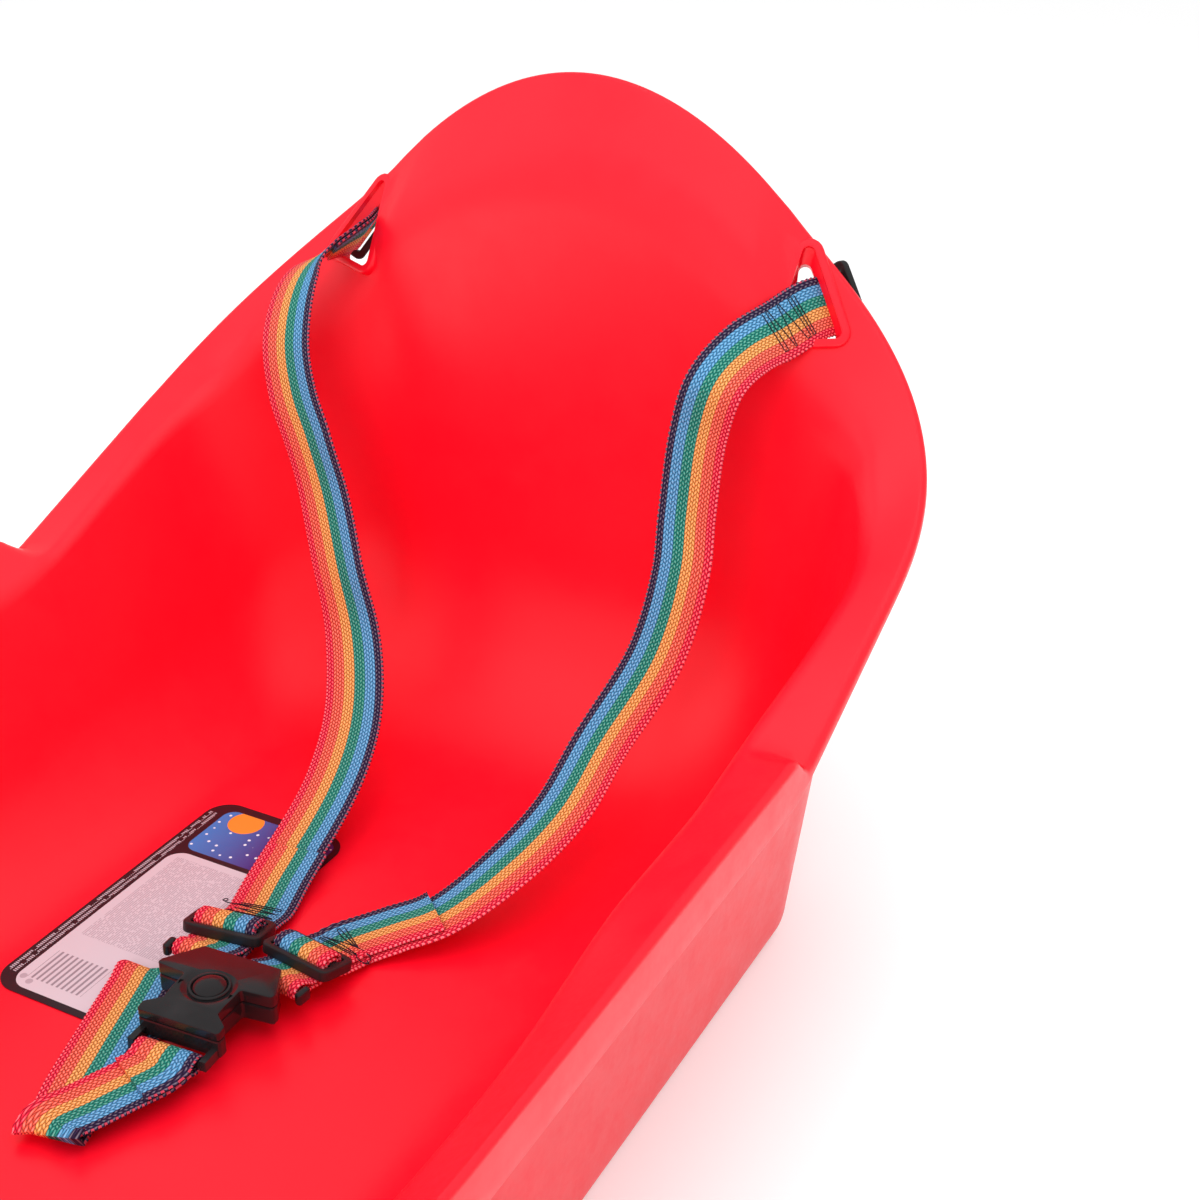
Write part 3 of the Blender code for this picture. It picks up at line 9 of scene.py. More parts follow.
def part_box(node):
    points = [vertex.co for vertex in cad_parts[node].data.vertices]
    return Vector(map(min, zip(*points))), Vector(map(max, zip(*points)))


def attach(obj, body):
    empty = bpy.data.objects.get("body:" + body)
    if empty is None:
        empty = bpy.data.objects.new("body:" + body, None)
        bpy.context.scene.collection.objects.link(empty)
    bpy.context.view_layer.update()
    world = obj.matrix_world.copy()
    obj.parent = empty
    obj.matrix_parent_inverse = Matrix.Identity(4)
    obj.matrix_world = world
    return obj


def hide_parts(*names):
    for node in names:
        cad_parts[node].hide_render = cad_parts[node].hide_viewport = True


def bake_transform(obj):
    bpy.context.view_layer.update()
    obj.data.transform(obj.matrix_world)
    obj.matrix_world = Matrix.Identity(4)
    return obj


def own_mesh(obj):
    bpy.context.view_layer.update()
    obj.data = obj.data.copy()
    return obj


bl_info = {
    "name": "Plastic sled with harness",
    "version": (1, 0, 0),
    "blender": (4, 5, 0),
    "location": "View3D > Sidebar > Sled",
    "description": "Dresses the packed sled with its moulded shell, webbing, fittings and label",
    "category": "Object",
}

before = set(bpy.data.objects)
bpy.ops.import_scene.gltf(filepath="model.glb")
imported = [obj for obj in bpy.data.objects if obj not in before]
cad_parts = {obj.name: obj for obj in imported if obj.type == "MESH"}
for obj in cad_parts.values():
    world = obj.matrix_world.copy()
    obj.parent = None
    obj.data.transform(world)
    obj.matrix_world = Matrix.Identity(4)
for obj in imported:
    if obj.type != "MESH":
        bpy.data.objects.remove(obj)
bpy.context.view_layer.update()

MM = 0.001
UP = np.array([0.0, 0.0, 1.0])
BUTTON_LOW, BUTTON_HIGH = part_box("release_button")

# Driving sizes of the sled in millimetres, in the maker's frame. SHIFT_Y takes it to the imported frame.
LENGTH_REAR = 400.0
LENGTH_FRONT = 400.0
HALF_WIDTH = 200.0
WALL = 3.6
GAP = 0.35

# seat tub, its plan as shares of the sled's length and width
FLOOR_Z = 46.0
FLOOR_HALF_W = HALF_WIDTH * 0.465
FLOOR_REAR_Y = LENGTH_REAR * 0.68
FLOOR_FRONT_Y = -LENGTH_FRONT * 0.58
FLOOR_CORNER = 24.0
FLOOR_NOSE_CORNER = 40.0
TUB_HALF_W = HALF_WIDTH * 0.665
TUB_REAR_Y = LENGTH_REAR * 0.9025
TUB_FRONT_Y = -LENGTH_FRONT * 0.795
TUB_TAPER = 12.0

# rim, measured along the sled from the rear (positive) to the front
STEP_Y = LENGTH_REAR * 0.49
STEP_BEFORE = 7.0
STEP_AFTER = 9.0
ARM_TOP_Z = 165.0
STEP_LOW_Z = 153.0
BACK_SLOPE = 0.43
BACK_TOP_Z = 362.0
BACK_CROWN = 0.0048
BACK_TURN_X = HALF_WIDTH * 0.525
BACK_SIDE_FALL = 0.69
BACK_TURN_LENGTH = 20.0
INNER_LOW_Z = 150.5
INNER_SLOPE = 0.305
INNER_TURN_Y = LENGTH_REAR * 0.435
INNER_TURN_LENGTH = 9.0
INNER_ARM_DROP = 8.5
INNER_BACK_DROP = 42.0
NOSE_RIM_Z = 137.0
DIP_Z = 128.0
FRONT_INNER_Y = -LENGTH_FRONT * 0.875
BACK_FLANGE = 29.5
ARM_FLANGE = 28.5
BACK_TAPER = 7.0
ARM_TAPER = 3.5
NOSE_TAPER = 14.0
RIM_TAPER = 13.0
RIM_ROLL = 2.0
RIM_ROUND_SIDE = 6.0
RIM_ROUND_BACK = 19.0
LIP_ARM = 21.0
LIP_BACK = 6.5

# outer walls, runners and the channel between them
SKIRT_HALF_W = HALF_WIDTH * 0.8
SKIRT_TAPER = 16.0
RUNNER_INNER_W = HALF_WIDTH * 0.52
RUNNER_TAPER = 8.0
RUNNER_FOOT = 13.0
CHANNEL_HALF_W = HALF_WIDTH * 0.48
CHANNEL_ROUND = 14.0
CHANNEL_ROOF_Z = 41.0
CHANNEL_END_Z = 36.0
RUNNER_REAR_Y = LENGTH_REAR * 0.8375
RUNNER_RISE_Y = -LENGTH_FRONT * 0.425
NOSE_BOTTOM_Y = -LENGTH_FRONT * 0.835
NOSE_BOTTOM_Z = 60.0
SKIRT_ROUND = 11.0
RUNNER_ROUND = 6.5
WALL_TOP_Z = 116.0
WALL_TOP_DROP = 18.0
WALL_TOP_REAR = 24.0
WALL_TOP_SIDE = 30.0
WALL_TOP_NOSE = 55.0

# stations where the straight sides end
SIDE_REAR_Y = LENGTH_REAR * 0.725
SIDE_FRONT_Y = -LENGTH_FRONT * 0.65

# strap slots in the back flange, seen from the front
SLOT_TOP = (HALF_WIDTH * 0.555, 301.5)
SLOT_LOW_OUT = (HALF_WIDTH * 0.6875, 261.0)
SLOT_LOW_IN = (HALF_WIDTH * 0.54, 258.5)
SLOT_CORNER = 3.0
SLOT_LIP_WIDTH = 4.0
SLOT_LIP_HEIGHT = 2.4
SLOT_SLEEVE = 8.5
SLOT_SILL = 2.6
SLOT_CHEEK = 7.5
SLOT_MIDDLE_OUT = 6.0
CUTTER_REACH = 30.0

# tow rope holes in the front flange
ROPE_HOLE_X = 52.0
ROPE_HOLE_Y = -LENGTH_FRONT * 0.94
ROPE_HOLE_R = 5.5
ROPE_HOLE_Z = (105.0, 160.0)

# webbing
WEB_W = 28.0
WEB_T = 1.5
WEB_STEP = 1.9
WEB_YARN = 0.00127
LAYER_DRIFT = 1.3
WEB_EDGE = 0.0008
BAR_R = 1.7
WRAP_R = 2.9
TAIL_TOP = 46.0
TAIL_LOW = 58.0
TAIL_CROTCH = 30.0
WEB_BANDS = (0.0, 0.15, 0.31, 0.49, 0.66, 0.86)
# tint the bands are multiplied by as painted shade in the gaps between yarns
GAP_SHADE_TINT = (0.30, 0.24, 0.30, 1.0)
# whitish tint mixed in as a painted highlight on each yarn crest
CREST_HIGHLIGHT_TINT = (1.0, 0.93, 0.86, 1.0)
INNER_LOOPS = (0.62, 0.07, 0.12, 1.0)
OUTER_LOOPS = (0.98, 0.22, 0.26, 1.0)
RIB_SIDE = 0.24
RIB_FACE = 0.08

# frames that hold the webbing
GLIDE_LONG = 36.0
GLIDE_SHORT = 18.4
GLIDE_T = 4.2
GLIDE_LOW = 4.0
GLIDE_BAR = 4.0
GLIDE_SLOT = 4.3
FRAME_SLOT_LONG = 29.4
ANCHOR_LONG = 37.0
ANCHOR_SHORT = 16.6
ANCHOR_T = 3.4
ANCHOR_SLOT = 2.9
FRAME_CORNER = 3.6
FRAME_SLOT_CORNER = 0.8
GLIDE_EDGE = 1.35
SLIDER_EDGE = 1.3
ANCHOR_EDGE = 0.9

# buckle
HUB = (7.5, 76.5)
HUB_TURN = 0.07
HUB_REAR_W = 36.0
HUB_REAR_L = 20.0
HUB_WING_W = 53.0
HUB_WING_L = 3.0
HUB_WAIST_W = 26.0
HUB_WAIST_L = 16.0
HUB_FOOT_W = 37.0
HUB_FOOT_L = 25.0
HUB_FOOT_T = 4.5
HUB_CORNER = 1.3
CORNERS = ((-1, -1), (1, -1), (1, 1), (-1, 1))
BASE_REAR_L = 11.5
HUB_SPLIT_Z = 62.7
HUB_TOP_Z = 68.4
NOSE_START_L = 11.0
NOSE_SLOPE = 0.12
HUB_WALL = 1.8
COVER_DECK_L = 1.5
COVER_DECK_SLOPE = 0.18
COVER_EDGE = 1.1
SCOOP_R = 11.6
WELL_CORNER = 0.6
NOTCH = ((10.6, -4.6), (12.2, -5.2), (11.4, -8.0))
BUTTON_BACK = 3.0
BUTTON_R = 6.8
BUTTON_FLANGE_R = 8.2
BUTTON_TOP_Z = 69.4
BUTTON_CLEAR = 0.4
STEM_R = 4.6
STEM_LIFT = 5.4
POST_R = 2.0
TONGUE_MID_X = 3.0
TONGUE_OFFSET = 17.0
TONGUE_SPLAY = math.radians(5.0)
TONGUE_BAR_Y = 97.0
TONGUE_Z = 58.5
TONGUE_T = 3.2
TONGUE_ARM = 2.0
END_W = 3.4
END_T = 5.6
TONGUE_SHY = 0.5
TONGUE_SLOT_LONG = 28.6
TONGUE_NECK = 2.0
BLADE_W = 10.0
BLADE_SHIFT = 3.5
BLADE_END_Y = 80.5
SPRING_R = 3.4
SPRING_WIRE = 0.3
SPRING_TURNS = 3
BUTTON_DOME = 2.2
TONGUE_EDGE = 0.45
END_CORNER = 1.5
END_EDGE = 1.2

# crotch strap
CROTCH_X = -6.0
CROTCH_SLOT_Y = 26.0
CROTCH_SLOT_W = 33.0
CROTCH_SLOT_L = 12.0
CROTCH_SLOT_Z = (30.0, 60.0)
CROTCH_FOLD = (-34.0, 87.0)
CROTCH_RETURN = (-4.0, -6.0)
CROTCH_BAR_L = 31.5
CROTCH_BAR_Z = 56.0

# where the harness runs, for the child's left (1) and right (-1): the back part from the slot, and the seat
# part from the adjuster with its heights from the ground
BACK_RUN = {
    1.0: [(-8.7, -14.5, -6.2), (-17.8, -31.5, -12.4), (-23.8, -50.5, -23.6), (-28.4, -55.5, -46.1),
          (-27.4, -66.5, -80.1), (-23.9, -78.5, -103.1), (-26.4, -96.5, -137.1)],
    -1.0: [(1.3, -15.5, -0.6), (-8.0, -36.5, -11.8), (-6.0, -56.5, -36.7), (2.0, -65.5, -61.7),
           (13.0, -70.5, -81.7), (24.0, -75.5, -104.7), (41.0, -89.5, -136.7)],
}
SEAT_RUN = {
    1.0: [(60.8, 142.8, 101.0), (57.8, 109.8, 82.0), (46.8, 74.8, 67.0), (30.8, 51.8, 55.0),
          (16.8, 39.8, 50.0)],
    -1.0: [(-49.4, 167.6, 107.0), (-31.4, 140.6, 84.0), (-19.4, 110.6, 71.0), (-13.4, 76.6, 57.0),
           (-8.4, 44.6, 49.0)],
}
GLIDE_AT = {1.0: (22.2, 115.2), -1.0: (-16.6, 115.4)}
GLIDE_TURN = {1.0: -0.14, -1.0: 0.155}
GLIDE_RUN = 12.0
BLEND_START_Y = 235.0
BLEND_END_Y = 145.0
SLOT_PASS = (HALF_WIDTH * 0.606, 271.5)
SLIDER_PULL = (-0.40, -0.93, 0.04)
SLIDER_REACH = 21.5
SLOT_WIDTH_DIR = (0.62, 0.0, -0.785)

# label on the seat
LABEL_C = (-54.6, 129.6)
LABEL_W = 73.2
LABEL_L = 152.8
LABEL_T = 0.25
LABEL_GAP = 0.3
LABEL_CORNER = 12.0

# what is printed on the label, in metres from its corner: areas as (left, right, near, far, corner), discs as
# (across, along, radius)
LABEL_PANEL = (0.0075, 0.070, 0.0035, 0.110, 0.008)
LABEL_FIELD = (0.009, 0.070, 0.113, 0.148, 0.006)
LABEL_LINES = (0.012, 0.064, 0.042, 0.106)
LABEL_BARS = ((0.012, 0.040, 0.010, 0.029), (0.046, 0.060, 0.022, 0.034))
LABEL_DOTS = ((0.0105, 0.0095, 0.0016), (0.0150, 0.0078, 0.0016))
LABEL_DISCS = (((0.0225, 0.142, 0.0085), (0.90, 0.26, 0.03, 1.0)),
               ((0.058, 0.132, 0.0055), (0.88, 0.86, 0.90, 1.0)))
LABEL_MARKS = ((0.0015, 0.0031), (0.0042, 0.0058))
LABEL_MARK_RUN = (0.010, 0.143)
LINE_STEP = 0.00105
LINE_CELL = 0.0008
BAR_STEP = 0.0026
MARK_STEP = 0.0011
MARK_CELL = (0.0027, 0.0022)
INK_BORDER = (0.012, 0.008, 0.012, 1.0)
INK_LINES = (0.26, 0.17, 0.22, 1.0)
INK_BARS = (0.16, 0.11, 0.14, 1.0)
INK_DOTS = (0.30, 0.22, 0.26, 1.0)
INK_DEEP = (0.05, 0.03, 0.20, 1.0)
INK_FLECKS = (0.75, 0.78, 0.86, 1.0)
INK_MARKS = (0.62, 0.50, 0.56, 1.0)

# camera as found from the photograph, and the lamps: name, share of the key's power, place, target, size
CAMERA_TURN = math.radians(27.0)
CAMERA_TILT = math.radians(27.0)
CAMERA_ROLL = math.radians(1.0)
LAMPS = (("key", 1.0, (0.25, 0.1, 1.5), (0.0, 0.1, 0.1), 1.3),
         ("fill", 0.5, (-1.2, -0.4, 1.1), (0.0, 0.0, 0.1), 1.0),
         ("front", 1.1, (0.25, -1.5, 0.75), (0.0, 0.3, 0.2), 1.0))

SHIFT_Y = (BUTTON_LOW[1] + BUTTON_HIGH[1]) / 2.0 - (HUB[1] - BUTTON_BACK * math.cos(HUB_TURN)) * MM

# stations round the shell and points along its section, finer than the solid's
N_REAR = 20
N_REAR_CORNER = 34
N_SIDE = 84
N_FRONT_CORNER = 26
N_FRONT = 10
SECTION_ARCS = [22, 10, 10, 3, 3, 3, 3, 8, 10, 5, 5]
SECTION_RUNS = [2, 14, 8, 3, 1, 3, 3, 10, 14, 5, 2, 4]

# sewn tacks: places of the rows along the webbing from its middle, the rows that slant, half the width, and
# the middle from the slider or behind the adjuster
UPPER_ROWS = (-9.0, -7.6, -6.0, -2.6, 1.0, 4.2, 6.8, 8.8)
UPPER_SLANTED = (3, 4, 5)
UPPER_HALF = 9.8
UPPER_AT = 36.0
LOWER_ROWS = (-5.4, -4.1, -2.0, 0.4, 2.6, 4.4, 5.5)
LOWER_SLANTED = (2, 3, 4)
LOWER_HALF = 9.5
LOWER_BACK = 14.2
ROW_LEAN = 1.3
THREAD_LIFT = 0.6
THREAD_RISE = 0.9
THREAD_DIP = 0.4
CURL = 2.2

SIDES = ((1.0, "left"), (-1.0, "right"))


def smoothstep(x, a, b):
    t = np.clip((np.asarray(x, float) - a) / (b - a), 0.0, 1.0)
    return t * t * (3.0 - 2.0 * t)


def unit(v):
    n = np.linalg.norm(v, axis=-1, keepdims=True)
    return v / np.maximum(n, 1e-9)


def metres(points_mm):
    """Millimetres in the maker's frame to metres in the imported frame."""
    return np.asarray(points_mm, float) * MM + np.array([0.0, SHIFT_Y, 0.0])


# Settings a user would change


class SledShellSettings(bpy.types.PropertyGroup):
    red: bpy.props.FloatVectorProperty(
        name="Shell red", description="Colour of the moulded plastic", subtype="COLOR", size=3,
        min=0.0, max=1.0, default=(0.95, 0.003, 0.019))
    gloss: bpy.props.FloatProperty(
        name="Shell roughness", description="Roughness of the moulded surface", subtype="FACTOR",
        min=0.0, max=1.0, default=0.34)


class WebbingSettings(bpy.types.PropertyGroup):
    rib: bpy.props.FloatProperty(
        name="Rib pitch", description="Length of one rib of the weave", unit="LENGTH", default=0.0022)
    red: bpy.props.FloatVectorProperty(
        name="Red band", description="Outer edge band", subtype="COLOR", size=3, default=(0.97, 0.018, 0.06))
    orange: bpy.props.FloatVectorProperty(
        name="Orange band", description="Second band", subtype="COLOR", size=3, default=(0.98, 0.12, 0.07))
    amber: bpy.props.FloatVectorProperty(
        name="Amber band", description="Third band", subtype="COLOR", size=3, default=(0.98, 0.38, 0.09))
    green: bpy.props.FloatVectorProperty(
        name="Green band", description="Fourth band", subtype="COLOR", size=3, default=(0.018, 0.30, 0.22))
    blue: bpy.props.FloatVectorProperty(
        name="Blue band", description="Fifth band", subtype="COLOR", size=3, default=(0.10, 0.38, 0.68))
    navy: bpy.props.FloatVectorProperty(
        name="Navy band", description="Inner edge band", subtype="COLOR", size=3,
        default=(0.035, 0.022, 0.075))


class FittingSettings(bpy.types.PropertyGroup):
    black: bpy.props.FloatVectorProperty(
        name="Fitting black", description="Colour of buckle and frames", subtype="COLOR", size=3,
        default=(0.012, 0.011, 0.012))
    thread: bpy.props.FloatProperty(
        name="Thread", description="Diameter of the sewing thread", unit="LENGTH", default=0.00044)


class LabelSettings(bpy.types.PropertyGroup):
    paper: bpy.props.FloatVectorProperty(
        name="Label paper", description="Pale panel of the label", subtype="COLOR", size=3,
        default=(0.61, 0.50, 0.55))
    sky: bpy.props.FloatVectorProperty(
        name="Label blue", description="Blue field of the label", subtype="COLOR", size=3,
        default=(0.03, 0.20, 0.55))


class StageSettings(bpy.types.PropertyGroup):
    camera: bpy.props.FloatVectorProperty(
        name="Camera", description="Place of the camera", subtype="TRANSLATION", size=3,
        default=(0.400, -0.368 + SHIFT_Y, 0.530))
    lens: bpy.props.FloatProperty(
        name="Lens", description="Focal length", default=55.5)
    key: bpy.props.FloatProperty(
        name="Key light", description="Power of the soft light above", subtype="POWER", default=9.5)
    sky: bpy.props.FloatProperty(
        name="Surround", description="Strength of the white surround", default=0.86)
    mirrored: bpy.props.FloatProperty(
        name="Reflected surround", description="Strength of the surround in reflections", default=0.4)


# Modelling helpers


def deselect():
    if bpy.context.object and bpy.context.object.mode != "OBJECT":
        bpy.ops.object.mode_set(mode="OBJECT")
    bpy.ops.object.select_all(action="DESELECT")


def activate(ob):
    deselect()
    ob.select_set(True)
    bpy.context.view_layer.objects.active = ob


def edit_all(ob):
    """Edit mode with everything selected."""
    activate(ob)
    bpy.ops.object.mode_set(mode="EDIT")
    bpy.ops.mesh.select_all(action="SELECT")


def shade(ob, degrees):
    """Smooth shading up to this angle between faces."""
    activate(ob)
    bpy.ops.object.shade_smooth_by_angle(angle=math.radians(degrees))


def to_side(values, side):
    """A point or direction of the child's left side, or its mirror image for the right."""
    return np.array(values) * np.array([side, 1.0, 1.0])


def axes_matrix(axes, place):
    """Matrix with these three directions as its columns, at a place in metres."""
    m = Matrix.Identity(4)
    for k, axis in enumerate(axes):
        for r in range(3):
            m[r][k] = axis[r]
    m.translation = tuple(place)
    return m


def weld(ob, distance=2e-6):
    """Merge the seams of a rolled-up grid and turn its faces outward."""
    edit_all(ob)
    bpy.ops.mesh.remove_doubles(threshold=distance)
    bpy.ops.mesh.select_all(action="SELECT")
    bpy.ops.mesh.normals_make_consistent(inside=False)
    bpy.ops.object.mode_set(mode="OBJECT")


def surface_piece(name, table, uv=None, angle=40.0):
    """Grid primitive laid over rows of points in millimetres, then welded into a closed form."""
    rows, cols = table.shape[:2]
    deselect()
    bpy.ops.mesh.primitive_grid_add(x_subdivisions=cols - 1, y_subdivisions=rows - 1, size=1.0)
    ob = bpy.context.object
    ob.name = name
    ob.data.name = name
    ob.data.vertices.foreach_set("co", metres(table.reshape(-1, 3)).ravel())
    if uv is not None:
        index = np.zeros(len(ob.data.loops), dtype=np.int64)
        ob.data.loops.foreach_get("vertex_index", index)
        layer = ob.data.uv_layers.active
        layer.data.foreach_set("uv", uv.reshape(-1, 2)[index].ravel())
    weld(ob)
    shade(ob, angle)
    return ob


def apply_modifier(ob, kind, **settings):
    activate(ob)
    bpy.ops.object.modifier_add(type=kind)
    mod = ob.modifiers[-1]
    for key, value in settings.items():
        setattr(mod, key, value)
    bpy.ops.object.modifier_apply(modifier=mod.name)


def soften(ob, width_mm, segments, angle=40.0):
    apply_modifier(ob, "BEVEL", width=width_mm * MM, segments=segments, limit_method="ANGLE",
                   angle_limit=math.radians(angle), harden_normals=False)
    shade(ob, 50.0)


def cut(ob, cutter, operation):
    apply_modifier(ob, "BOOLEAN", operation=operation, solver="EXACT", object=cutter)
    bpy.data.objects.remove(cutter, do_unlink=True)


def dress(ob, mat, body, slot, *nodes):
    """Give a finished piece its material and body, and say what solids it stands for; the slot is not used.
    """
    ob.data.materials.clear()
    ob.data.materials.append(mat)
    for poly in ob.data.polygons:
        poly.material_index = 0
    if nodes:
        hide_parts(*nodes)
    if body:
        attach(ob, body)
    return ob


# Materials


class Nodes:
    """Short way to write a material's node tree."""

    def __init__(self, name):
        self.mat = bpy.data.materials.new(name)
        self.mat.use_nodes = True
        self.tree = self.mat.node_tree
        self.bsdf = self.tree.nodes["Principled BSDF"]

    def add(self, kind, **values):
        node = self.tree.nodes.new(kind)
        for key, value in values.items():
            if key in node.inputs.keys():
                node.inputs[key].default_value = value
            else:
                setattr(node, key, value)
        return node

    def link(self, a, b):
        self.tree.links.new(a, b)

    def math(self, op, a, b=None, c=None, clamp=False):
        node = self.tree.nodes.new("ShaderNodeMath")
        node.operation = op
        node.use_clamp = clamp
        for k, value in enumerate((a, b, c)):
            if value is None:
                continue
            if isinstance(value, (int, float)):
                node.inputs[k].default_value = value
            else:
                self.link(value, node.inputs[k])
        return node.outputs[0]

    def plus(self, a, b, clamp=False):
        return self.math("ADD", a, b, clamp=clamp)

    def minus(self, a, b):
        return self.math("SUBTRACT", a, b)

    def times(self, a, b):
        return self.math("MULTIPLY", a, b)

    def over(self, a, b):
        return self.math("DIVIDE", a, b)

    def within(self, value, low, high):
        return self.times(self.math("GREATER_THAN", value, low), self.math("LESS_THAN", value, high))

    def mix(self, factor, a, b, blend="MIX"):
        node = self.tree.nodes.new("ShaderNodeMix")
        node.data_type = "RGBA"
        node.blend_type = blend
        for k, value in ((0, factor), (6, a), (7, b)):
            if isinstance(value, (int, float, tuple)):
                node.inputs[k].default_value = value
            else:
                self.link(value, node.inputs[k])
        return node.outputs[2]

    def noise(self, coords, scale, detail=3.0, rough=0.5):
        node = self.add("ShaderNodeTexNoise", Scale=scale, Detail=detail, Roughness=rough)
        self.link(coords, node.inputs["Vector"])
        return node.outputs["Fac"]

    def span(self, value, low, high, to_low, to_high):
        node = self.add("ShaderNodeMapRange")
        self.link(value, node.inputs["Value"])
        node.inputs["From Min"].default_value = low
        node.inputs["From Max"].default_value = high
        node.inputs["To Min"].default_value = to_low
        node.inputs["To Max"].default_value = to_high
        return node.outputs["Result"]

    def bump(self, height, strength, distance, normal=None):
        node = self.add("ShaderNodeBump", Strength=strength, Distance=distance)
        self.link(height, node.inputs["Height"])
        if normal is not None:
            self.link(normal, node.inputs["Normal"])
        self.link(node.outputs["Normal"], self.bsdf.inputs["Normal"])
        return node.outputs["Normal"]

    def surface(self, **values):
        """Set inputs of the surface, with _ for each space in a name."""
        for key, value in values.items():
            self.bsdf.inputs[key.replace("_", " ")].default_value = value

    def feed(self, value, name):
        self.link(value, self.bsdf.inputs[name])

    def coords(self, kind):
        return self.add("ShaderNodeTexCoord").outputs[kind]


def colour(rgb):
    return (rgb[0], rgb[1], rgb[2], 1.0)


def moulded_red(settings):
    """Glossy polyethylene with faint waves and rub marks."""
    n = Nodes("moulded_red")
    place = n.coords("Object")
    cloud = n.noise(place, 14.0, 2.0)
    n.feed(n.mix(n.span(cloud, 0.35, 0.65, 0.0, 1.0), colour([c * 0.96 for c in settings.red]),
                 colour(settings.red)), "Base Color")
    fine = n.noise(place, 420.0, 3.0)
    rubs = n.noise(place, 60.0, 4.0, 0.65)
    n.feed(n.plus(n.span(rubs, 0.3, 0.75, settings.gloss - 0.04, settings.gloss + 0.07),
                  n.span(fine, 0.3, 0.7, -0.02, 0.02)), "Roughness")
    n.surface(IOR=1.5)
    waves = n.noise(place, 55.0, 1.0)
    normal = n.bump(waves, 0.04, 0.002)
    n.bump(fine, 0.04, 0.0002, normal)
    return n.mat


def rainbow_webbing(settings):
    """Herringbone webbing: colour bands across the width, slanted yarn crests along it, looped edges. The
    crests carry a painted highlight and the gaps between them painted shade.
    """
    n = Nodes("rainbow_webbing")
    place = n.coords("UV")
    split = n.add("ShaderNodeSeparateXYZ")
    n.link(place, split.inputs[0])
    across, along = split.outputs[0], split.outputs[1]
    ramp = n.add("ShaderNodeValToRGB")
    ramp.color_ramp.interpolation = "CONSTANT"
    marks = ramp.color_ramp.elements
    while len(marks) < len(WEB_BANDS):
        marks.new(0.5)
    bands = (settings.red, settings.orange, settings.amber, settings.green, settings.blue, settings.navy)
    for mark, at, rgb in zip(marks, WEB_BANDS, bands):
        mark.position = at
        mark.color = colour(rgb)
    column = n.over(across, WEB_YARN)
    middle = n.times(n.plus(n.math("FLOOR", column), 0.5), WEB_YARN / (WEB_W * MM))
    n.link(middle, ramp.inputs["Fac"])
    odd = n.math("MODULO", n.math("FLOOR", column), 2.0)
    u = n.minus(n.math("FRACT", column), 0.5)
    lean = n.times(u, n.times(n.minus(odd, 0.5), 0.9))
    rows = n.over(along, settings.rib)
    row = n.plus(n.plus(rows, n.times(odd, 0.5)), lean)
    v = n.minus(n.math("FRACT", row), 0.5)
    reach = n.math("SQRT", n.plus(n.times(n.times(u, u), 3.0), n.times(n.times(v, v), 4.4)))
    fibre = n.noise(place, 5200.0, 2.0)
    crest = n.plus(n.span(reach, 0.62, 1.12, 1.0, 0.0), n.span(fibre, 0.3, 0.7, -0.12, 0.12), clamp=True)
    bands = ramp.outputs["Color"]
    # painted shade: the bands darkened in the gaps between the yarn crests
    shaded_gap = n.mix(1.0, bands, GAP_SHADE_TINT, "MULTIPLY")
    pale = n.mix(0.34, bands, CREST_HIGHLIGHT_TINT)
    weave = n.mix(crest, shaded_gap, bands)
    # painted highlight: the middle of each crest whitened toward the pale tint
    weave = n.mix(n.span(reach, 0.0, 0.6, 0.7, 0.0), weave, pale)
    loops = n.math("LESS_THAN", n.math("ABSOLUTE", n.minus(n.math("FRACT", rows), 0.5)), 0.24)
    inner = n.times(n.math("GREATER_THAN", across, WEB_W * MM - WEB_EDGE), loops)
    outer = n.times(n.math("LESS_THAN", across, WEB_EDGE), loops)
    weave = n.mix(inner, weave, INNER_LOOPS)
    weave = n.mix(outer, weave, OUTER_LOOPS)
    n.feed(weave, "Base Color")
    n.surface(Roughness=0.8, Specular_IOR_Level=0.25)
    n.bump(n.plus(crest, n.times(fibre, 0.15)), 0.9, 0.0004)
    return n.mat


def black_plastic(name, settings, rough, grain):
    """Moulded black plastic with a fine grain and slight wear."""
    n = Nodes(name)
    place = n.coords("Object")
    wear = n.noise(place, 60.0, 2.0, 0.5)
    n.feed(n.mix(n.span(wear, 0.5, 0.8, 0.0, 1.0), colour(settings.black),
                 colour([c * 1.7 + 0.002 for c in settings.black])), "Base Color")
    fine = n.noise(place, 2600.0, 2.0)
    n.feed(n.span(wear, 0.3, 0.75, rough - 0.03, rough + 0.04), "Roughness")
    n.bump(fine, grain, 0.0001)
    return n.mat


def sewing_thread():
    """Black twisted thread, its plies following the length."""
    n = Nodes("sewing_thread")
    fine = n.noise(n.coords("Object"), 3500.0, 2.0)
    n.feed(n.mix(fine, (0.004, 0.003, 0.006, 1.0), (0.03, 0.02, 0.04, 1.0)), "Base Color")
    n.surface(Roughness=0.75, Specular_IOR_Level=0.3)
    n.bump(fine, 0.5, 0.0001)
    return n.mat


def spring_steel():
    """Drawn wire, slightly uneven."""
    n = Nodes("spring_steel")
    fine = n.noise(n.coords("Object"), 900.0, 2.0)
    n.feed(n.mix(fine, (0.42, 0.42, 0.44, 1.0), (0.62, 0.62, 0.64, 1.0)), "Base Color")
    n.surface(Metallic=1.0)
    n.feed(n.span(fine, 0.3, 0.7, 0.22, 0.4), "Roughness")
    return n.mat


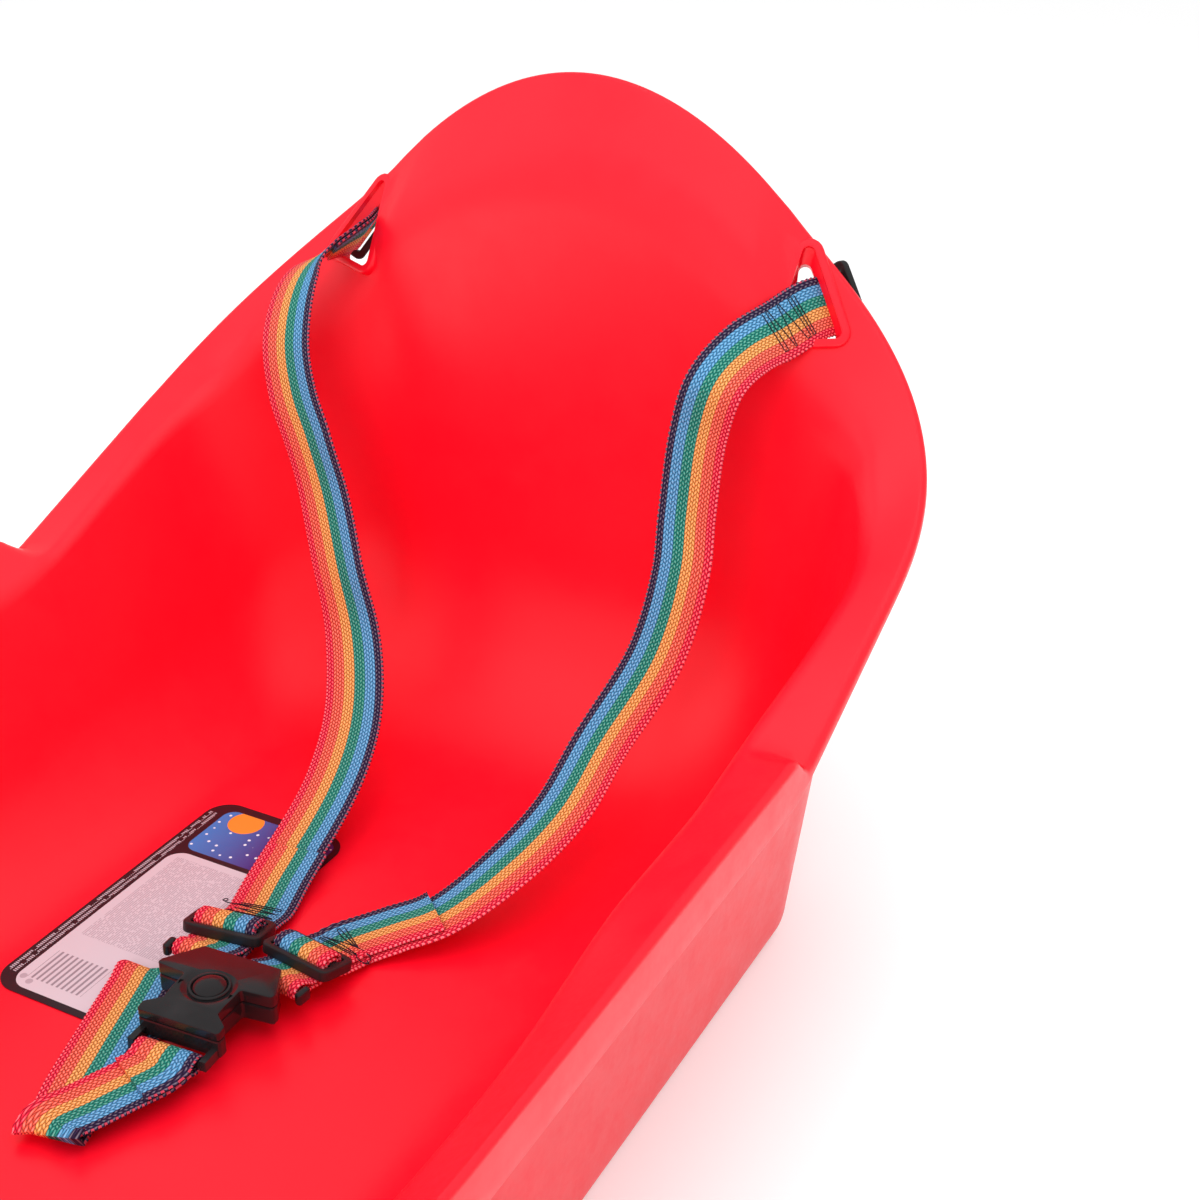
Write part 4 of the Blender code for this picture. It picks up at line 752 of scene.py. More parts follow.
def printed_label(settings):
    """Sticker with a dashed black border, a pale panel of broken lines and bars, and a blue field."""
    n = Nodes("printed_label")
    place = n.coords("UV")
    split = n.add("ShaderNodeSeparateXYZ")
    n.link(place, split.inputs[0])
    x, y = split.outputs[0], split.outputs[1]

    def patch(x0, x1, y0, y1):
        return n.times(n.within(x, x0, x1), n.within(y, y0, y1))

    def rounded(x0, x1, y0, y1, radius):
        """Inside of a rectangle with round corners."""
        parts = []
        for value, low, high in ((x, x0, x1), (y, y0, y1)):
            away = n.math("ABSOLUTE", n.minus(value, (low + high) / 2.0))
            over = n.math("MAXIMUM", n.minus(away, (high - low) / 2.0 - radius), 0.0)
            parts.append(n.times(over, over))
        return n.math("LESS_THAN", n.plus(*parts), radius * radius)

    def broken(step_x, step_y, share):
        """Chance of ink in each small cell of the label."""
        cell = n.add("ShaderNodeCombineXYZ")
        n.link(n.math("FLOOR", n.over(x, step_x)), cell.inputs[0])
        n.link(n.math("FLOOR", n.over(y, step_y)), cell.inputs[1])
        dice = n.add("ShaderNodeTexWhiteNoise", noise_dimensions="3D")
        n.link(cell.outputs[0], dice.inputs["Vector"])
        return n.math("LESS_THAN", dice.outputs["Value"], share)

    def round_mark(cx, cy, radius):
        dx, dy = n.minus(x, cx), n.minus(y, cy)
        reach = n.math("SQRT", n.plus(n.times(dx, dx), n.times(dy, dy)))
        return n.math("LESS_THAN", reach, radius)

    def either(shape, places):
        return n.math("MAXIMUM", *[shape(*place) for place in places])

    panel = rounded(*LABEL_PANEL)
    lines = n.within(n.math("FRACT", n.over(x, LINE_STEP)), 0.3, 0.78)
    lines = n.times(lines, broken(LINE_STEP, LINE_CELL, 0.8))
    lines = n.times(lines, patch(*LABEL_LINES))
    bars = n.within(n.math("FRACT", n.over(x, BAR_STEP)), 0.3, 0.72)
    bars = n.times(bars, either(patch, LABEL_BARS))
    paper = n.mix(n.times(lines, 0.55), colour(settings.paper), INK_LINES)
    paper = n.mix(n.times(bars, 0.75), paper, INK_BARS)
    paper = n.mix(n.times(either(round_mark, LABEL_DOTS), 0.6), paper, INK_DOTS)
    field = rounded(*LABEL_FIELD)
    fleck = n.add("ShaderNodeTexVoronoi", Scale=190.0, Randomness=0.35)
    n.link(place, fleck.inputs["Vector"])
    snow = n.math("LESS_THAN", fleck.outputs["Distance"], 0.14)
    art = n.mix(n.span(x, 0.008, 0.045, 0.0, 1.0), colour(settings.sky), INK_DEEP)
    art = n.mix(snow, art, INK_FLECKS)
    for disc, ink in LABEL_DISCS:
        art = n.mix(round_mark(*disc), art, ink)
    marks = n.math("MAXIMUM", *[n.within(x, *column) for column in LABEL_MARKS])
    ticks = n.within(n.math("FRACT", n.over(y, MARK_STEP)), 0.0, 0.62)
    marks = n.times(n.times(marks, ticks), n.times(n.within(y, *LABEL_MARK_RUN), broken(*MARK_CELL, 0.86)))
    base = n.mix(panel, INK_BORDER, paper)
    base = n.mix(field, base, art)
    n.feed(n.mix(n.times(marks, 0.75), base, INK_MARKS), "Base Color")
    n.surface(Roughness=0.3)
    n.bump(n.noise(n.coords("Object"), 45.0, 2.0), 0.15, 0.002)
    return n.mat


# The shell's section, the same as the solid's, with more stations


def side_stations():
    u = np.linspace(0.0, 1.0, N_SIDE + 1)
    y = SIDE_REAR_Y + (SIDE_FRONT_Y - SIDE_REAR_Y) * u
    pull = np.exp(-((y - STEP_Y) / 55.0) ** 2)
    return y + (STEP_Y - y) * 0.55 * pull


def corner_points(half_w, flat_x, y_edge, y_end, power, count):
    th = np.linspace(0.0, math.pi / 2, count + 1)
    c = np.abs(np.cos(th)) ** (2.0 / power)
    s = np.abs(np.sin(th)) ** (2.0 / power)
    return flat_x + (half_w - flat_x) * s, y_edge + (y_end - y_edge) * c


def ring_plan(rear_y, rear_flat, rear_w, front_y, front_flat, front_w, rear_power=2.0,
              front_power=2.0, side_scale=1.0, waist=None):
    """Half of one ring in plan, from the rear middle to the front middle, for x >= 0."""
    ys = side_stations() * side_scale
    x = np.linspace(0.0, rear_flat, N_REAR + 1)[:-1]
    xs, yy = [x], [np.full(len(x), rear_y)]
    cx, cy = corner_points(rear_w, rear_flat, ys[0], rear_y, rear_power, N_REAR_CORNER)
    xs.append(cx[:-1])
    yy.append(cy[:-1])
    if waist is None:
        frac = (ys - ys[0]) / (ys[-1] - ys[0])
        sx = rear_w + (front_w - rear_w) * smoothstep(frac, 0.35, 1.0)
    else:
        sx = waist(ys)
    xs.append(sx)
    yy.append(ys)
    fx, fy = corner_points(front_w, front_flat, ys[-1], front_y, front_power, N_FRONT_CORNER)
    xs.append(fx[::-1][1:])
    yy.append(fy[::-1][1:])
    x = np.linspace(front_flat, 0.0, N_FRONT + 1)[1:]
    xs.append(x)
    yy.append(np.full(len(x), front_y))
    return np.concatenate(xs), np.concatenate(yy)


def station_kind():
    """How far each station is toward the rear, toward the front and toward the rear middle."""
    n = N_REAR + N_REAR_CORNER + N_SIDE + 1 + N_FRONT_CORNER + N_FRONT
    i = np.arange(n, dtype=float)
    rear = np.clip(1.0 - (i - N_REAR) / N_REAR_CORNER, 0.0, 1.0)
    first_front = N_REAR + N_REAR_CORNER + N_SIDE
    front = np.clip((i - first_front) / N_FRONT_CORNER, 0.0, 1.0)
    middle = np.clip(1.0 - i / N_REAR, 0.0, 1.0)
    return rear * rear * (3 - 2 * rear), front * front * (3 - 2 * front), middle


def outer_rim_z(x, y):
    """Height of the rim's outer edge."""
    beyond = np.maximum(x - BACK_TURN_X, 0.0)
    crest = BACK_CROWN * np.minimum(x, BACK_TURN_X) ** 2
    extra = 2.0 * BACK_CROWN * BACK_TURN_X - BACK_SIDE_FALL
    settle = extra * BACK_TURN_LENGTH * (1.0 - np.exp(-beyond / BACK_TURN_LENGTH))
    fall = crest + BACK_SIDE_FALL * beyond + settle
    slope_end = STEP_LOW_Z + BACK_SLOPE * (LENGTH_REAR - STEP_Y - STEP_BEFORE)
    lift = np.maximum(BACK_TOP_Z - slope_end - fall, 0.0)
    back = STEP_LOW_Z + BACK_SLOPE * np.maximum(y - STEP_Y - STEP_BEFORE, 0.0) + lift
    ahead = -y / LENGTH_FRONT
    front = ARM_TOP_Z - (ARM_TOP_Z - DIP_Z) * smoothstep(ahead, 0.175, 0.5875)
    front = front + (NOSE_RIM_Z - DIP_Z) * smoothstep(ahead, 0.625, 1.0)
    return front + (back - front) * smoothstep(y, STEP_Y - STEP_BEFORE, STEP_Y + STEP_AFTER)


def inner_rim_z(y, outer_z, rear):
    """Height of the rim's inner edge, where the seat wall turns into the flange."""
    turn = INNER_TURN_LENGTH
    side = INNER_LOW_Z + INNER_SLOPE * np.log1p(np.exp((y - INNER_TURN_Y) / turn)) * turn
    side = side - INNER_ARM_DROP * (1.0 - smoothstep(y / LENGTH_REAR, -0.025, 0.275))
    front = outer_z - WALL
    side = side + (front - side) * smoothstep(-y / LENGTH_FRONT, 0.15, 0.625)
    return side + (outer_z - INNER_BACK_DROP * rear - side) * smoothstep(rear, 0.0, 0.45)


def outer_width(y):
    return HALF_WIDTH - RIM_TAPER * smoothstep(y / SIDE_FRONT_Y, 0.15, 1.0)


def inner_width(y):
    back = BACK_TAPER * smoothstep(y / SIDE_REAR_Y, 0.6, 1.0)
    arm = ARM_TAPER * (1.0 - smoothstep(y / LENGTH_REAR, 0.05, 0.275))
    nose = NOSE_TAPER * smoothstep(y / SIDE_FRONT_Y, 0.08, 1.0)
    return HALF_WIDTH - ARM_FLANGE + back + arm - nose


def rim_rings():
    rear, _, _ = station_kind()
    ox, oy = ring_plan(LENGTH_REAR - RIM_ROLL, HALF_WIDTH * 0.45, outer_width(SIDE_REAR_Y), -LENGTH_FRONT,
                       HALF_WIDTH * 0.15, outer_width(SIDE_FRONT_Y), rear_power=2.7, front_power=2.2,
                       waist=outer_width)
    oz = outer_rim_z(ox, oy)
    ix, iy = ring_plan(LENGTH_REAR - BACK_FLANGE, HALF_WIDTH * 0.49, inner_width(SIDE_REAR_Y),
                       FRONT_INNER_Y, HALF_WIDTH * 0.2, inner_width(SIDE_FRONT_Y), rear_power=2.3,
                       front_power=2.1, waist=inner_width)
    iz = inner_rim_z(iy, oz, rear)
    return np.stack([ix, iy, iz], 1), np.stack([ox, oy, oz], 1)


def bottom_z(y):
    t = np.clip((RUNNER_RISE_Y - y) / (RUNNER_RISE_Y - NOSE_BOTTOM_Y), 0.0, 1.2)
    return NOSE_BOTTOM_Z * t ** 2


def key_rings():
    """Corner lines of the shell's section, from the seat floor round to the underside."""
    rear, front, middle = station_kind()
    i2, o3 = rim_rings()
    n = len(rear)
    up = np.zeros((n, 3))
    up[:, 2] = 1.0

    fx, fy = ring_plan(FLOOR_REAR_Y, FLOOR_HALF_W - FLOOR_CORNER, FLOOR_HALF_W, FLOOR_FRONT_Y,
                       FLOOR_HALF_W - FLOOR_NOSE_CORNER, FLOOR_HALF_W * 0.945, side_scale=0.865)
    k0 = np.stack([fx, fy, np.full(n, FLOOR_Z)], 1)
    tx, ty = ring_plan(TUB_REAR_Y, TUB_HALF_W * 0.6, TUB_HALF_W, TUB_FRONT_Y, TUB_HALF_W * 0.435,
                       TUB_HALF_W - TUB_TAPER)
    k1 = np.stack([tx, ty, np.full(n, FLOOR_Z)], 1)

    out = o3 - i2
    plan = unit(out * np.array([1.0, 1.0, 0.0]))
    along = unit(out)
    rise = np.sum(along * up, axis=1, keepdims=True)
    level = np.sum(along * plan, axis=1, keepdims=True)
    under = plan * rise - up * level
    lip_dir = unit(-up * (1.0 - rear[:, None]) + under * rear[:, None] + plan * 0.02)
    lip_in = np.cross(np.cross(lip_dir, plan), lip_dir)
    lip_in = -unit(lip_in)
    step = smoothstep(o3[:, 1], STEP_Y - STEP_BEFORE, STEP_Y + STEP_AFTER)
    lip = LIP_ARM + (LIP_BACK - LIP_ARM) * step
    lip = lip * (1.0 - 0.25 * front)
    k4 = o3 + lip_dir * lip[:, None]
    k5 = k4 + lip_in * WALL
    dot = np.sum(under * lip_in, axis=1, keepdims=True)
    k6 = o3 + WALL * (under + lip_in) / (1.0 + dot)
    k7 = i2 + under * WALL * 1.08 + along * WALL * 1.25

    bx, by = ring_plan(LENGTH_REAR - WALL_TOP_REAR, HALF_WIDTH * 0.5, HALF_WIDTH - WALL_TOP_SIDE,
                       WALL_TOP_NOSE - LENGTH_FRONT, HALF_WIDTH * 0.225,
                       HALF_WIDTH - WALL_TOP_SIDE - SKIRT_TAPER, rear_power=2.1)
    k7b = np.stack([bx, by, WALL_TOP_Z - WALL_TOP_DROP * front], 1)
    sx, sy = ring_plan(RUNNER_REAR_Y, SKIRT_HALF_W * 0.625, SKIRT_HALF_W, NOSE_BOTTOM_Y,
                       SKIRT_HALF_W * 0.3125, SKIRT_HALF_W - SKIRT_TAPER)
    channel_end = CHANNEL_END_Z * smoothstep(middle, 0.02, 0.24)
    k8 = np.stack([sx, sy, np.maximum(bottom_z(sy), channel_end)], 1)
    rx, ry = ring_plan(RUNNER_REAR_Y - RUNNER_FOOT, RUNNER_INNER_W * 0.81, RUNNER_INNER_W,
                       NOSE_BOTTOM_Y * 0.862, RUNNER_INNER_W * 0.53, RUNNER_INNER_W - RUNNER_TAPER,
                       side_scale=0.98)
    k9 = np.stack([rx, ry, np.maximum(bottom_z(ry), channel_end)], 1)
    cx, cy = ring_plan(RUNNER_REAR_Y * 0.937, CHANNEL_HALF_W * 0.81, CHANNEL_HALF_W,
                       NOSE_BOTTOM_Y * 0.784, CHANNEL_HALF_W * 0.573, CHANNEL_HALF_W - RUNNER_TAPER,
                       side_scale=0.95)
    k10 = np.stack([cx, cy, np.full(n, CHANNEL_ROOF_Z)], 1)
    k10[:, 2] = np.maximum(k10[:, 2], k9[:, 2] + WALL * 0.56)
    mx, my = ring_plan(RUNNER_REAR_Y * 0.866, CHANNEL_HALF_W * 0.73, CHANNEL_HALF_W - CHANNEL_ROUND,
                       NOSE_BOTTOM_Y * 0.719, CHANNEL_HALF_W * 0.52,
                       CHANNEL_HALF_W - CHANNEL_ROUND - RUNNER_TAPER, side_scale=0.9)
    k11 = np.stack([mx, my, np.full(n, CHANNEL_ROOF_Z)], 1)

    wide = np.linalg.norm(k1 - k0, axis=1)
    wall = np.linalg.norm(i2 - k1, axis=1)
    t1 = np.minimum(wide * 0.97, wall * 0.84)
    t2 = RIM_ROUND_SIDE + (RIM_ROUND_BACK - RIM_ROUND_SIDE) * rear
    t3 = WALL * (1.17 - 0.44 * rear)
    tiny = np.full(n, WALL * 0.25)
    t7 = np.full(n, WALL * 0.5)
    t7b = WALL + (WALL_TOP_REAR - WALL) * rear
    t8 = np.minimum(SKIRT_ROUND, 0.3 * np.linalg.norm(k8 - k7b, axis=1))
    foot = np.linalg.norm(k10 - k9, axis=1)
    t9 = np.minimum(RUNNER_ROUND, 0.42 * foot)
    t10 = np.minimum(RUNNER_ROUND, 0.42 * foot)
    keys = [k0, k1, i2, o3, k4, k5, k6, k7, k7b, k8, k9, k10, k11]
    cuts = [t1, t2, t3, tiny, tiny, tiny, t7, t7b, t8, t9, t10]
    return keys, cuts


def conic(a, corner, b, t, weight):
    """Point at share t of the true arc from a to b that turns inside a corner."""
    top = a * (1 - t) ** 2 + corner * (2 * t * (1 - t) * weight) + b * t ** 2
    return top / ((1 - t) ** 2 + 2 * t * (1 - t) * weight + t ** 2)


def corner_at(before, here, after):
    """Directions from a corner to its neighbours, and half the angle between them."""
    u, v = unit(before - here), unit(after - here)
    return u, v, math.acos(float(np.clip(np.dot(u, v), -1, 1))) / 2.0


def round_off(before, here, after, radius, seg):
    """Points of the arc that rounds off a corner."""
    u, v, half = corner_at(before, here, after)
    reach = radius / math.tan(half)
    a, b = here + u * reach, here + v * reach
    return [conic(a, here, b, j / seg, math.sin(half)) for j in range(seg + 1)]


def section_lines(keys, cuts):
    """Rings of the section: straight runs between the key lines, true arcs at each corner."""
    rings = []
    last = keys[0]
    for k in range(1, len(keys) - 1):
        here, before, after = keys[k], keys[k - 1], keys[k + 1]
        reach = cuts[k - 1][:, None]
        a = here + unit(before - here) * reach
        b = here + unit(after - here) * reach
        for j in range(SECTION_RUNS[k - 1]):
            rings.append(last + (a - last) * (j / SECTION_RUNS[k - 1]))
        cosine = np.sum(unit(before - here) * unit(after - here), axis=1)
        weight = np.sqrt(np.clip((1.0 - cosine) / 2.0, 0.0, 1.0))[:, None]
        for j in range(SECTION_ARCS[k - 1]):
            rings.append(conic(a, here, b, j / SECTION_ARCS[k - 1], weight))
        last = b
    for j in range(SECTION_RUNS[-1] + 1):
        rings.append(last + (keys[-1] - last) * (j / SECTION_RUNS[-1]))
    return rings


def whole_ring(half):
    """Mirror half a ring in the middle plane and close it."""
    left = half[1:-1][::-1] * np.array([-1.0, 1.0, 1.0])
    return np.concatenate([half, left, half[:1]])


def towards_middle(ring, share):
    """The ring drawn in to the sled's middle plane, to close the floor or the underside."""
    return ring * np.array([1.0 - share, 1.0, 1.0])


def flange_plane(side):
    """Origin and normal of the back flange where the strap slot is."""
    i2, o3 = rim_rings()
    want = (SLOT_TOP[0] + SLOT_LOW_OUT[0]) / 2.0 + SLOT_MIDDLE_OUT
    sel = np.argmin(np.abs(o3[:N_REAR + N_REAR_CORNER, 0] - want))
    across = unit(o3[sel] - i2[sel])
    along = unit(o3[sel + 1] - o3[sel - 1])
    normal = unit(np.cross(along, across))
    if normal[1] > 0:
        normal = -normal
    return to_side((i2[sel] + o3[sel]) / 2.0, side), to_side(normal, side)


def on_flange(side, x, z):
    """Point of the flange's plane at a width and height, the width counted to the given side."""
    p, n = flange_plane(side)
    y = p[1] - (n[0] * (x * side - p[0]) + n[2] * (z - p[2])) / n[1]
    return np.array([x * side, y, z])


def rounded_polygon(points, radius, seg):
    """Plane polygon with its corners rounded."""
    pts = [np.array(p, float) for p in points]
    out = []
    for i, here in enumerate(pts):
        out += round_off(pts[i - 1], here, pts[(i + 1) % len(pts)], radius, seg)
    return out


def grow(points, by):
    """Move every side of a convex plane polygon outward by the same."""
    pts = [np.array(p, float) for p in points]
    out = []
    for i, here in enumerate(pts):
        u, v, half = corner_at(pts[i - 1], here, pts[(i + 1) % len(pts)])
        out.append(here - unit(u + v) * (by / math.sin(half)))
    return out


def stack_piece(name, levels, angle=40.0):
    """Closed form through a stack of outlines, each a list of points in millimetres."""
    rings = [np.array(level + level[:1]) for level in levels]
    low = np.repeat([np.mean(rings[0][:-1], axis=0)], len(rings[0]), axis=0)
    high = np.repeat([np.mean(rings[-1][:-1], axis=0)], len(rings[0]), axis=0)
    return surface_piece(name, np.array([low] + rings + [high]), angle=angle)


def slot_cutters(side):
    """Collar and hole of one strap slot, as forms to add to the flange and to cut from it."""
    _, normal = flange_plane(side)
    tri = [on_flange(side, *p) for p in (SLOT_TOP, SLOT_LOW_OUT, SLOT_LOW_IN)]
    wide = SLOT_LIP_WIDTH
    crown = [(WALL * 0.45, -SLOT_SLEEVE), (WALL * 0.6, 0.6 - SLOT_SLEEVE), (WALL * 0.7, -WALL * 1.3),
             (wide, -WALL * 0.8), (wide, SLOT_LIP_HEIGHT - 1.4), (wide - 0.25, SLOT_LIP_HEIGHT - 0.8),
             (wide - 0.8, SLOT_LIP_HEIGHT - 0.25), (wide - 1.6, SLOT_LIP_HEIGHT)]
    levels = []
    for by, high in crown:
        outline = rounded_polygon(grow(tri, by), SLOT_CORNER + by, 8)
        levels.append([p + normal * high for p in outline])
    collar = stack_piece("collar_form", levels)
    inward = unit(np.cross(tri[1] - tri[0], normal))
    inward = inward * np.sign(np.dot(tri[2] - tri[0], inward)) * SLOT_SILL
    narrow = [tri[0] + inward + unit(tri[2] - tri[0]) * SLOT_SILL, tri[1] + inward,
              tri[2] + unit(tri[1] - tri[2]) * SLOT_CHEEK]
    hole = []
    for outline, high in ((narrow, -CUTTER_REACH), (narrow, -WALL), (tri, -0.2), (tri, CUTTER_REACH)):
        hole.append([p + normal * high for p in rounded_polygon(outline, SLOT_CORNER, 8)])
    through = stack_piece("slot_form", hole)
    return collar, through


def round_outline(x, y, radius, z, seg=40):
    """Points of a level circle."""
    return [np.array([x + radius * math.cos(a), y + radius * math.sin(a), z])
            for a in np.linspace(0.0, 2.0 * math.pi, seg, endpoint=False)]


class SLED_OT_shell(bpy.types.Operator):
    """Moulded shell with its seat, flange, lip, runners, slots and rope holes"""
    bl_idname = "sled.shell"
    bl_label = "Moulded shell"

    def execute(self, context):
        rings = [whole_ring(r) for r in section_lines(*key_rings())]
        seat = [towards_middle(rings[0], s) for s in (1.0, 0.75, 0.5, 0.25)]
        belly = [towards_middle(rings[-1], s) for s in (0.25, 0.5, 0.75, 1.0)]
        shell = surface_piece("moulded_shell", np.array(seat + rings + belly), angle=60.0)
        for side, _ in SIDES:
            collar, through = slot_cutters(side)
            cut(shell, collar, "UNION")
            cut(shell, through, "DIFFERENCE")
            x = ROPE_HOLE_X * side
            circles = [round_outline(x, ROPE_HOLE_Y, ROPE_HOLE_R, z) for z in ROPE_HOLE_Z]
            cut(shell, stack_piece("rope_form", circles), "DIFFERENCE")
        corners = [(CROTCH_X + a * CROTCH_SLOT_W / 2, CROTCH_SLOT_Y + b * CROTCH_SLOT_L / 2, 0.0)
                   for a, b in CORNERS]
        outline = rounded_polygon(corners, SLOT_CORNER, 8)
        slot = stack_piece("crotch_form", [[p + UP * z for p in outline] for z in CROTCH_SLOT_Z])
        cut(shell, slot, "DIFFERENCE")
        shade(shell, 38.0)
        dress(shell, moulded_red(context.scene.sled_shell), "sled", "shell", "sled_shell")
        return {"FINISHED"}


# The harness: a guide carries a path, and the webbing is drawn in the guide's own length and height


def spline(points, per_span=24):
    """Centripetal Catmull-Rom curve through the points, as a dense polyline."""
    p = np.array(points, float)
    p = np.concatenate([[2 * p[0] - p[1]], p, [2 * p[-1] - p[-2]]])
    out = []
    for i in range(1, len(p) - 2):
        p0, p1, p2, p3 = p[i - 1:i + 3]
        t0 = 0.0
        t1 = t0 + np.linalg.norm(p1 - p0) ** 0.5
        t2 = t1 + np.linalg.norm(p2 - p1) ** 0.5
        t3 = t2 + np.linalg.norm(p3 - p2) ** 0.5
        for t in np.linspace(t1, t2, per_span, endpoint=False):
            a1 = (t1 - t) / (t1 - t0) * p0 + (t - t0) / (t1 - t0) * p1
            a2 = (t2 - t) / (t2 - t1) * p1 + (t - t1) / (t2 - t1) * p2
            a3 = (t3 - t) / (t3 - t2) * p2 + (t - t2) / (t3 - t2) * p3
            b1 = (t2 - t) / (t2 - t0) * a1 + (t - t0) / (t2 - t0) * a2
            b2 = (t3 - t) / (t3 - t1) * a2 + (t - t1) / (t3 - t1) * a3
            out.append((t2 - t) / (t2 - t1) * b1 + (t - t1) / (t2 - t1) * b2)
    out.append(p[-2])
    return np.array(out)


class Guide:
    """A strap's way through space, with the webbing's width direction at every length."""

    def __init__(self, points, widths, level):
        self.line = spline(points)
        step = np.linalg.norm(np.diff(self.line, axis=0), axis=1)
        self.s = np.concatenate([[0.0], np.cumsum(step)])
        per = (len(self.line) - 1) // (len(points) - 1)
        self.knots = self.s[::per]
        w = np.array(widths, float)
        tangent = unit(np.gradient(self.line, self.s, axis=0))
        across = np.stack([np.interp(self.s, self.knots, w[:, k]) for k in range(3)], 1)
        flat = unit(np.cross(tangent, UP) + np.array([1e-6, 0.0, 0.0]))
        flat = flat * np.where(np.sum(flat * across, axis=1, keepdims=True) < 0, -1.0, 1.0)
        share = np.interp(self.s, self.knots, np.array(level, float))[:, None]
        across = across * (1.0 - share) + flat * share
        across = unit(across - tangent * np.sum(across * tangent, axis=1, keepdims=True))
        normal = np.cross(tangent, across)
        if np.dot(normal[-1], UP) < 0:
            normal = -normal
        self.tangent, self.across, self.normal = tangent, across, normal

    def frame(self, s):
        """Places, tangents, width directions and normals at lengths, also beyond either end."""
        s = np.atleast_1d(np.asarray(s, float))

        def pick(table):
            return np.stack([np.interp(s, self.s, table[:, k]) for k in range(3)], 1)

        base, t = pick(self.line), unit(pick(self.tangent))
        extra = np.where(s < 0, s, np.where(s > self.s[-1], s - self.s[-1], 0.0))[:, None]
        return base + t * extra, t, unit(pick(self.across)), unit(pick(self.normal))

    def at(self, s):
        """Place, tangent, width direction and normal at one length."""
        return (v[0] for v in self.frame(s))

    def place(self, s, n, b):
        """Points at lengths s, n above the webbing's middle and b to its side."""
        base, _, across, normal = self.frame(s)
        return base + normal * np.atleast_1d(n)[:, None] + across * np.atleast_1d(b)[:, None]


def rounded_path(points, radii, seg=10):
    """Plane polyline with rounded corners."""
    pts = [np.array(p, float) for p in points]
    out = [pts[0]]
    for i in range(1, len(pts) - 1):
        out += round_off(pts[i - 1], pts[i], pts[i + 1], radii[i - 1], seg)
    out.append(pts[-1])
    return np.array(out)


def even_path(path, pitch):
    """The path again with points at an even pitch."""
    length = np.concatenate([[0.0], np.cumsum(np.linalg.norm(np.diff(path, axis=0), axis=1))])
    at = np.arange(0.0, length[-1], pitch)
    return np.stack([np.interp(at, length, path[:, k]) for k in range(2)], 1), at


def loop_start(tail):
    """Webbing round a bar at length 0: sewn end, round the bar, then the running part."""
    low = WEB_STEP / 2
    pts = [(tail, -low), (8.0, -low), (2.2, -WRAP_R), (-WRAP_R, -WRAP_R), (-WRAP_R, WRAP_R),
           (2.2, WRAP_R), (8.0, low)]
    return pts, [4.0, 4.0, 2.7, 2.7, 4.0, 4.0]


def loop_end(bar, low, high, tail):
    """Webbing round a bar at the guide's end, then back on top of itself."""
    mid = (low + high) / 2
    pts = [(bar - 8.0, low), (bar - 2.2, mid - WRAP_R), (bar + WRAP_R, mid - WRAP_R),
           (bar + WRAP_R, mid + WRAP_R), (bar - 2.2, mid + WRAP_R), (bar - 8.0, high)]
    return pts + tail, [4.0, 4.0, 2.7, 2.7, 4.0, 4.0]


def glide_hat(at, low, reach, top, r_low, r_top, forward):
    """Webbing up through the adjuster, over its bar and down again."""
    pts = [(at - reach, low), (at - reach, top), (at + reach, top), (at + reach, low)]
    radii = [r_low, r_top, r_top, r_low]
    return (pts, radii) if forward else (pts[::-1], radii[::-1])


def shoulder_path(at, bar):
    """The whole way of a shoulder strap as lengths and heights, with the adjuster and the tongue's bar."""
    low, high = WEB_STEP / 2, WEB_STEP * 1.5
    over = GLIDE_LOW + GLIDE_T + 0.4 + WEB_T / 2
    reach = GLIDE_BAR / 2 + 0.4 + WEB_T / 2
    pts, radii = loop_start(TAIL_TOP)
    hat, r = glide_hat(at, low, reach, over, 3.1, 1.2, True)
    pts, radii = pts + hat, radii + r
    turn, r = loop_end(bar, low, high, [])
    pts, radii = pts + turn, radii + r
    hat, r = glide_hat(at, high, reach + WEB_STEP, over + WEB_STEP, 1.2, 3.1, False)
    pts, radii = pts + hat, radii + r
    pts.append((at - GLIDE_SHORT / 2 - TAIL_LOW, high))
    return rounded_path(pts, radii)


def slider_point(side):
    """Where the back slider hangs, and where the strap passes the slot."""
    passed = on_flange(side, *SLOT_PASS)
    return passed - unit(to_side(SLIDER_PULL, side)) * SLIDER_REACH, passed


def hub_point(u, v, z=0.0):
    """Point of the buckle: u toward the child's left, v toward the rear of the sled."""
    c, s = math.cos(HUB_TURN), math.sin(HUB_TURN)
    return np.array([HUB[0] + u * c - v * s, HUB[1] + u * s + v * c, z])


def button_centre():
    """Middle of the push button in plan."""
    return hub_point(0.0, -BUTTON_BACK)


def hub_ring(half, corner, seg):
    """Plan of a buckle form from its left half, given as places in the buckle from the rear."""
    pts = [hub_point(u, v) for u, v in half] + [hub_point(-u, v) for u, v in half[::-1]]
    return rounded_polygon(pts, corner, seg)


def hub_outline(rear_l):
    """Plan of the buckle: a wide rear with wings, a waist at the button and a foot for the strap bar."""
    slope = (HUB_WING_W - HUB_REAR_W) / 2.0 / (HUB_REAR_L - HUB_WING_L)
    rear = HUB_REAR_W / 2.0 + (HUB_REAR_L - rear_l) * slope
    wing, waist, foot = HUB_WING_W / 2.0, HUB_WAIST_W / 2.0, HUB_FOOT_W / 2.0
    half = [(rear, rear_l), (wing, HUB_WING_L), (wing, 0.0), (waist, -TONGUE_SHY * 2.0),
            (waist - TONGUE_SHY, -HUB_WAIST_L), (foot, HUB_FOOT_T - HUB_FOOT_L), (foot, -HUB_FOOT_L)]
    return hub_ring(half, HUB_CORNER, 3)


def tongue_frame(side):
    """Bar centre, the way the tongue leaves and the bar's direction."""
    pos = np.array([TONGUE_MID_X + TONGUE_OFFSET * side, TONGUE_BAR_Y, TONGUE_Z])
    away = np.array([math.sin(TONGUE_SPLAY) * side, math.cos(TONGUE_SPLAY), 0.0])
    return pos, away, np.array([away[1], -away[0], 0.0])


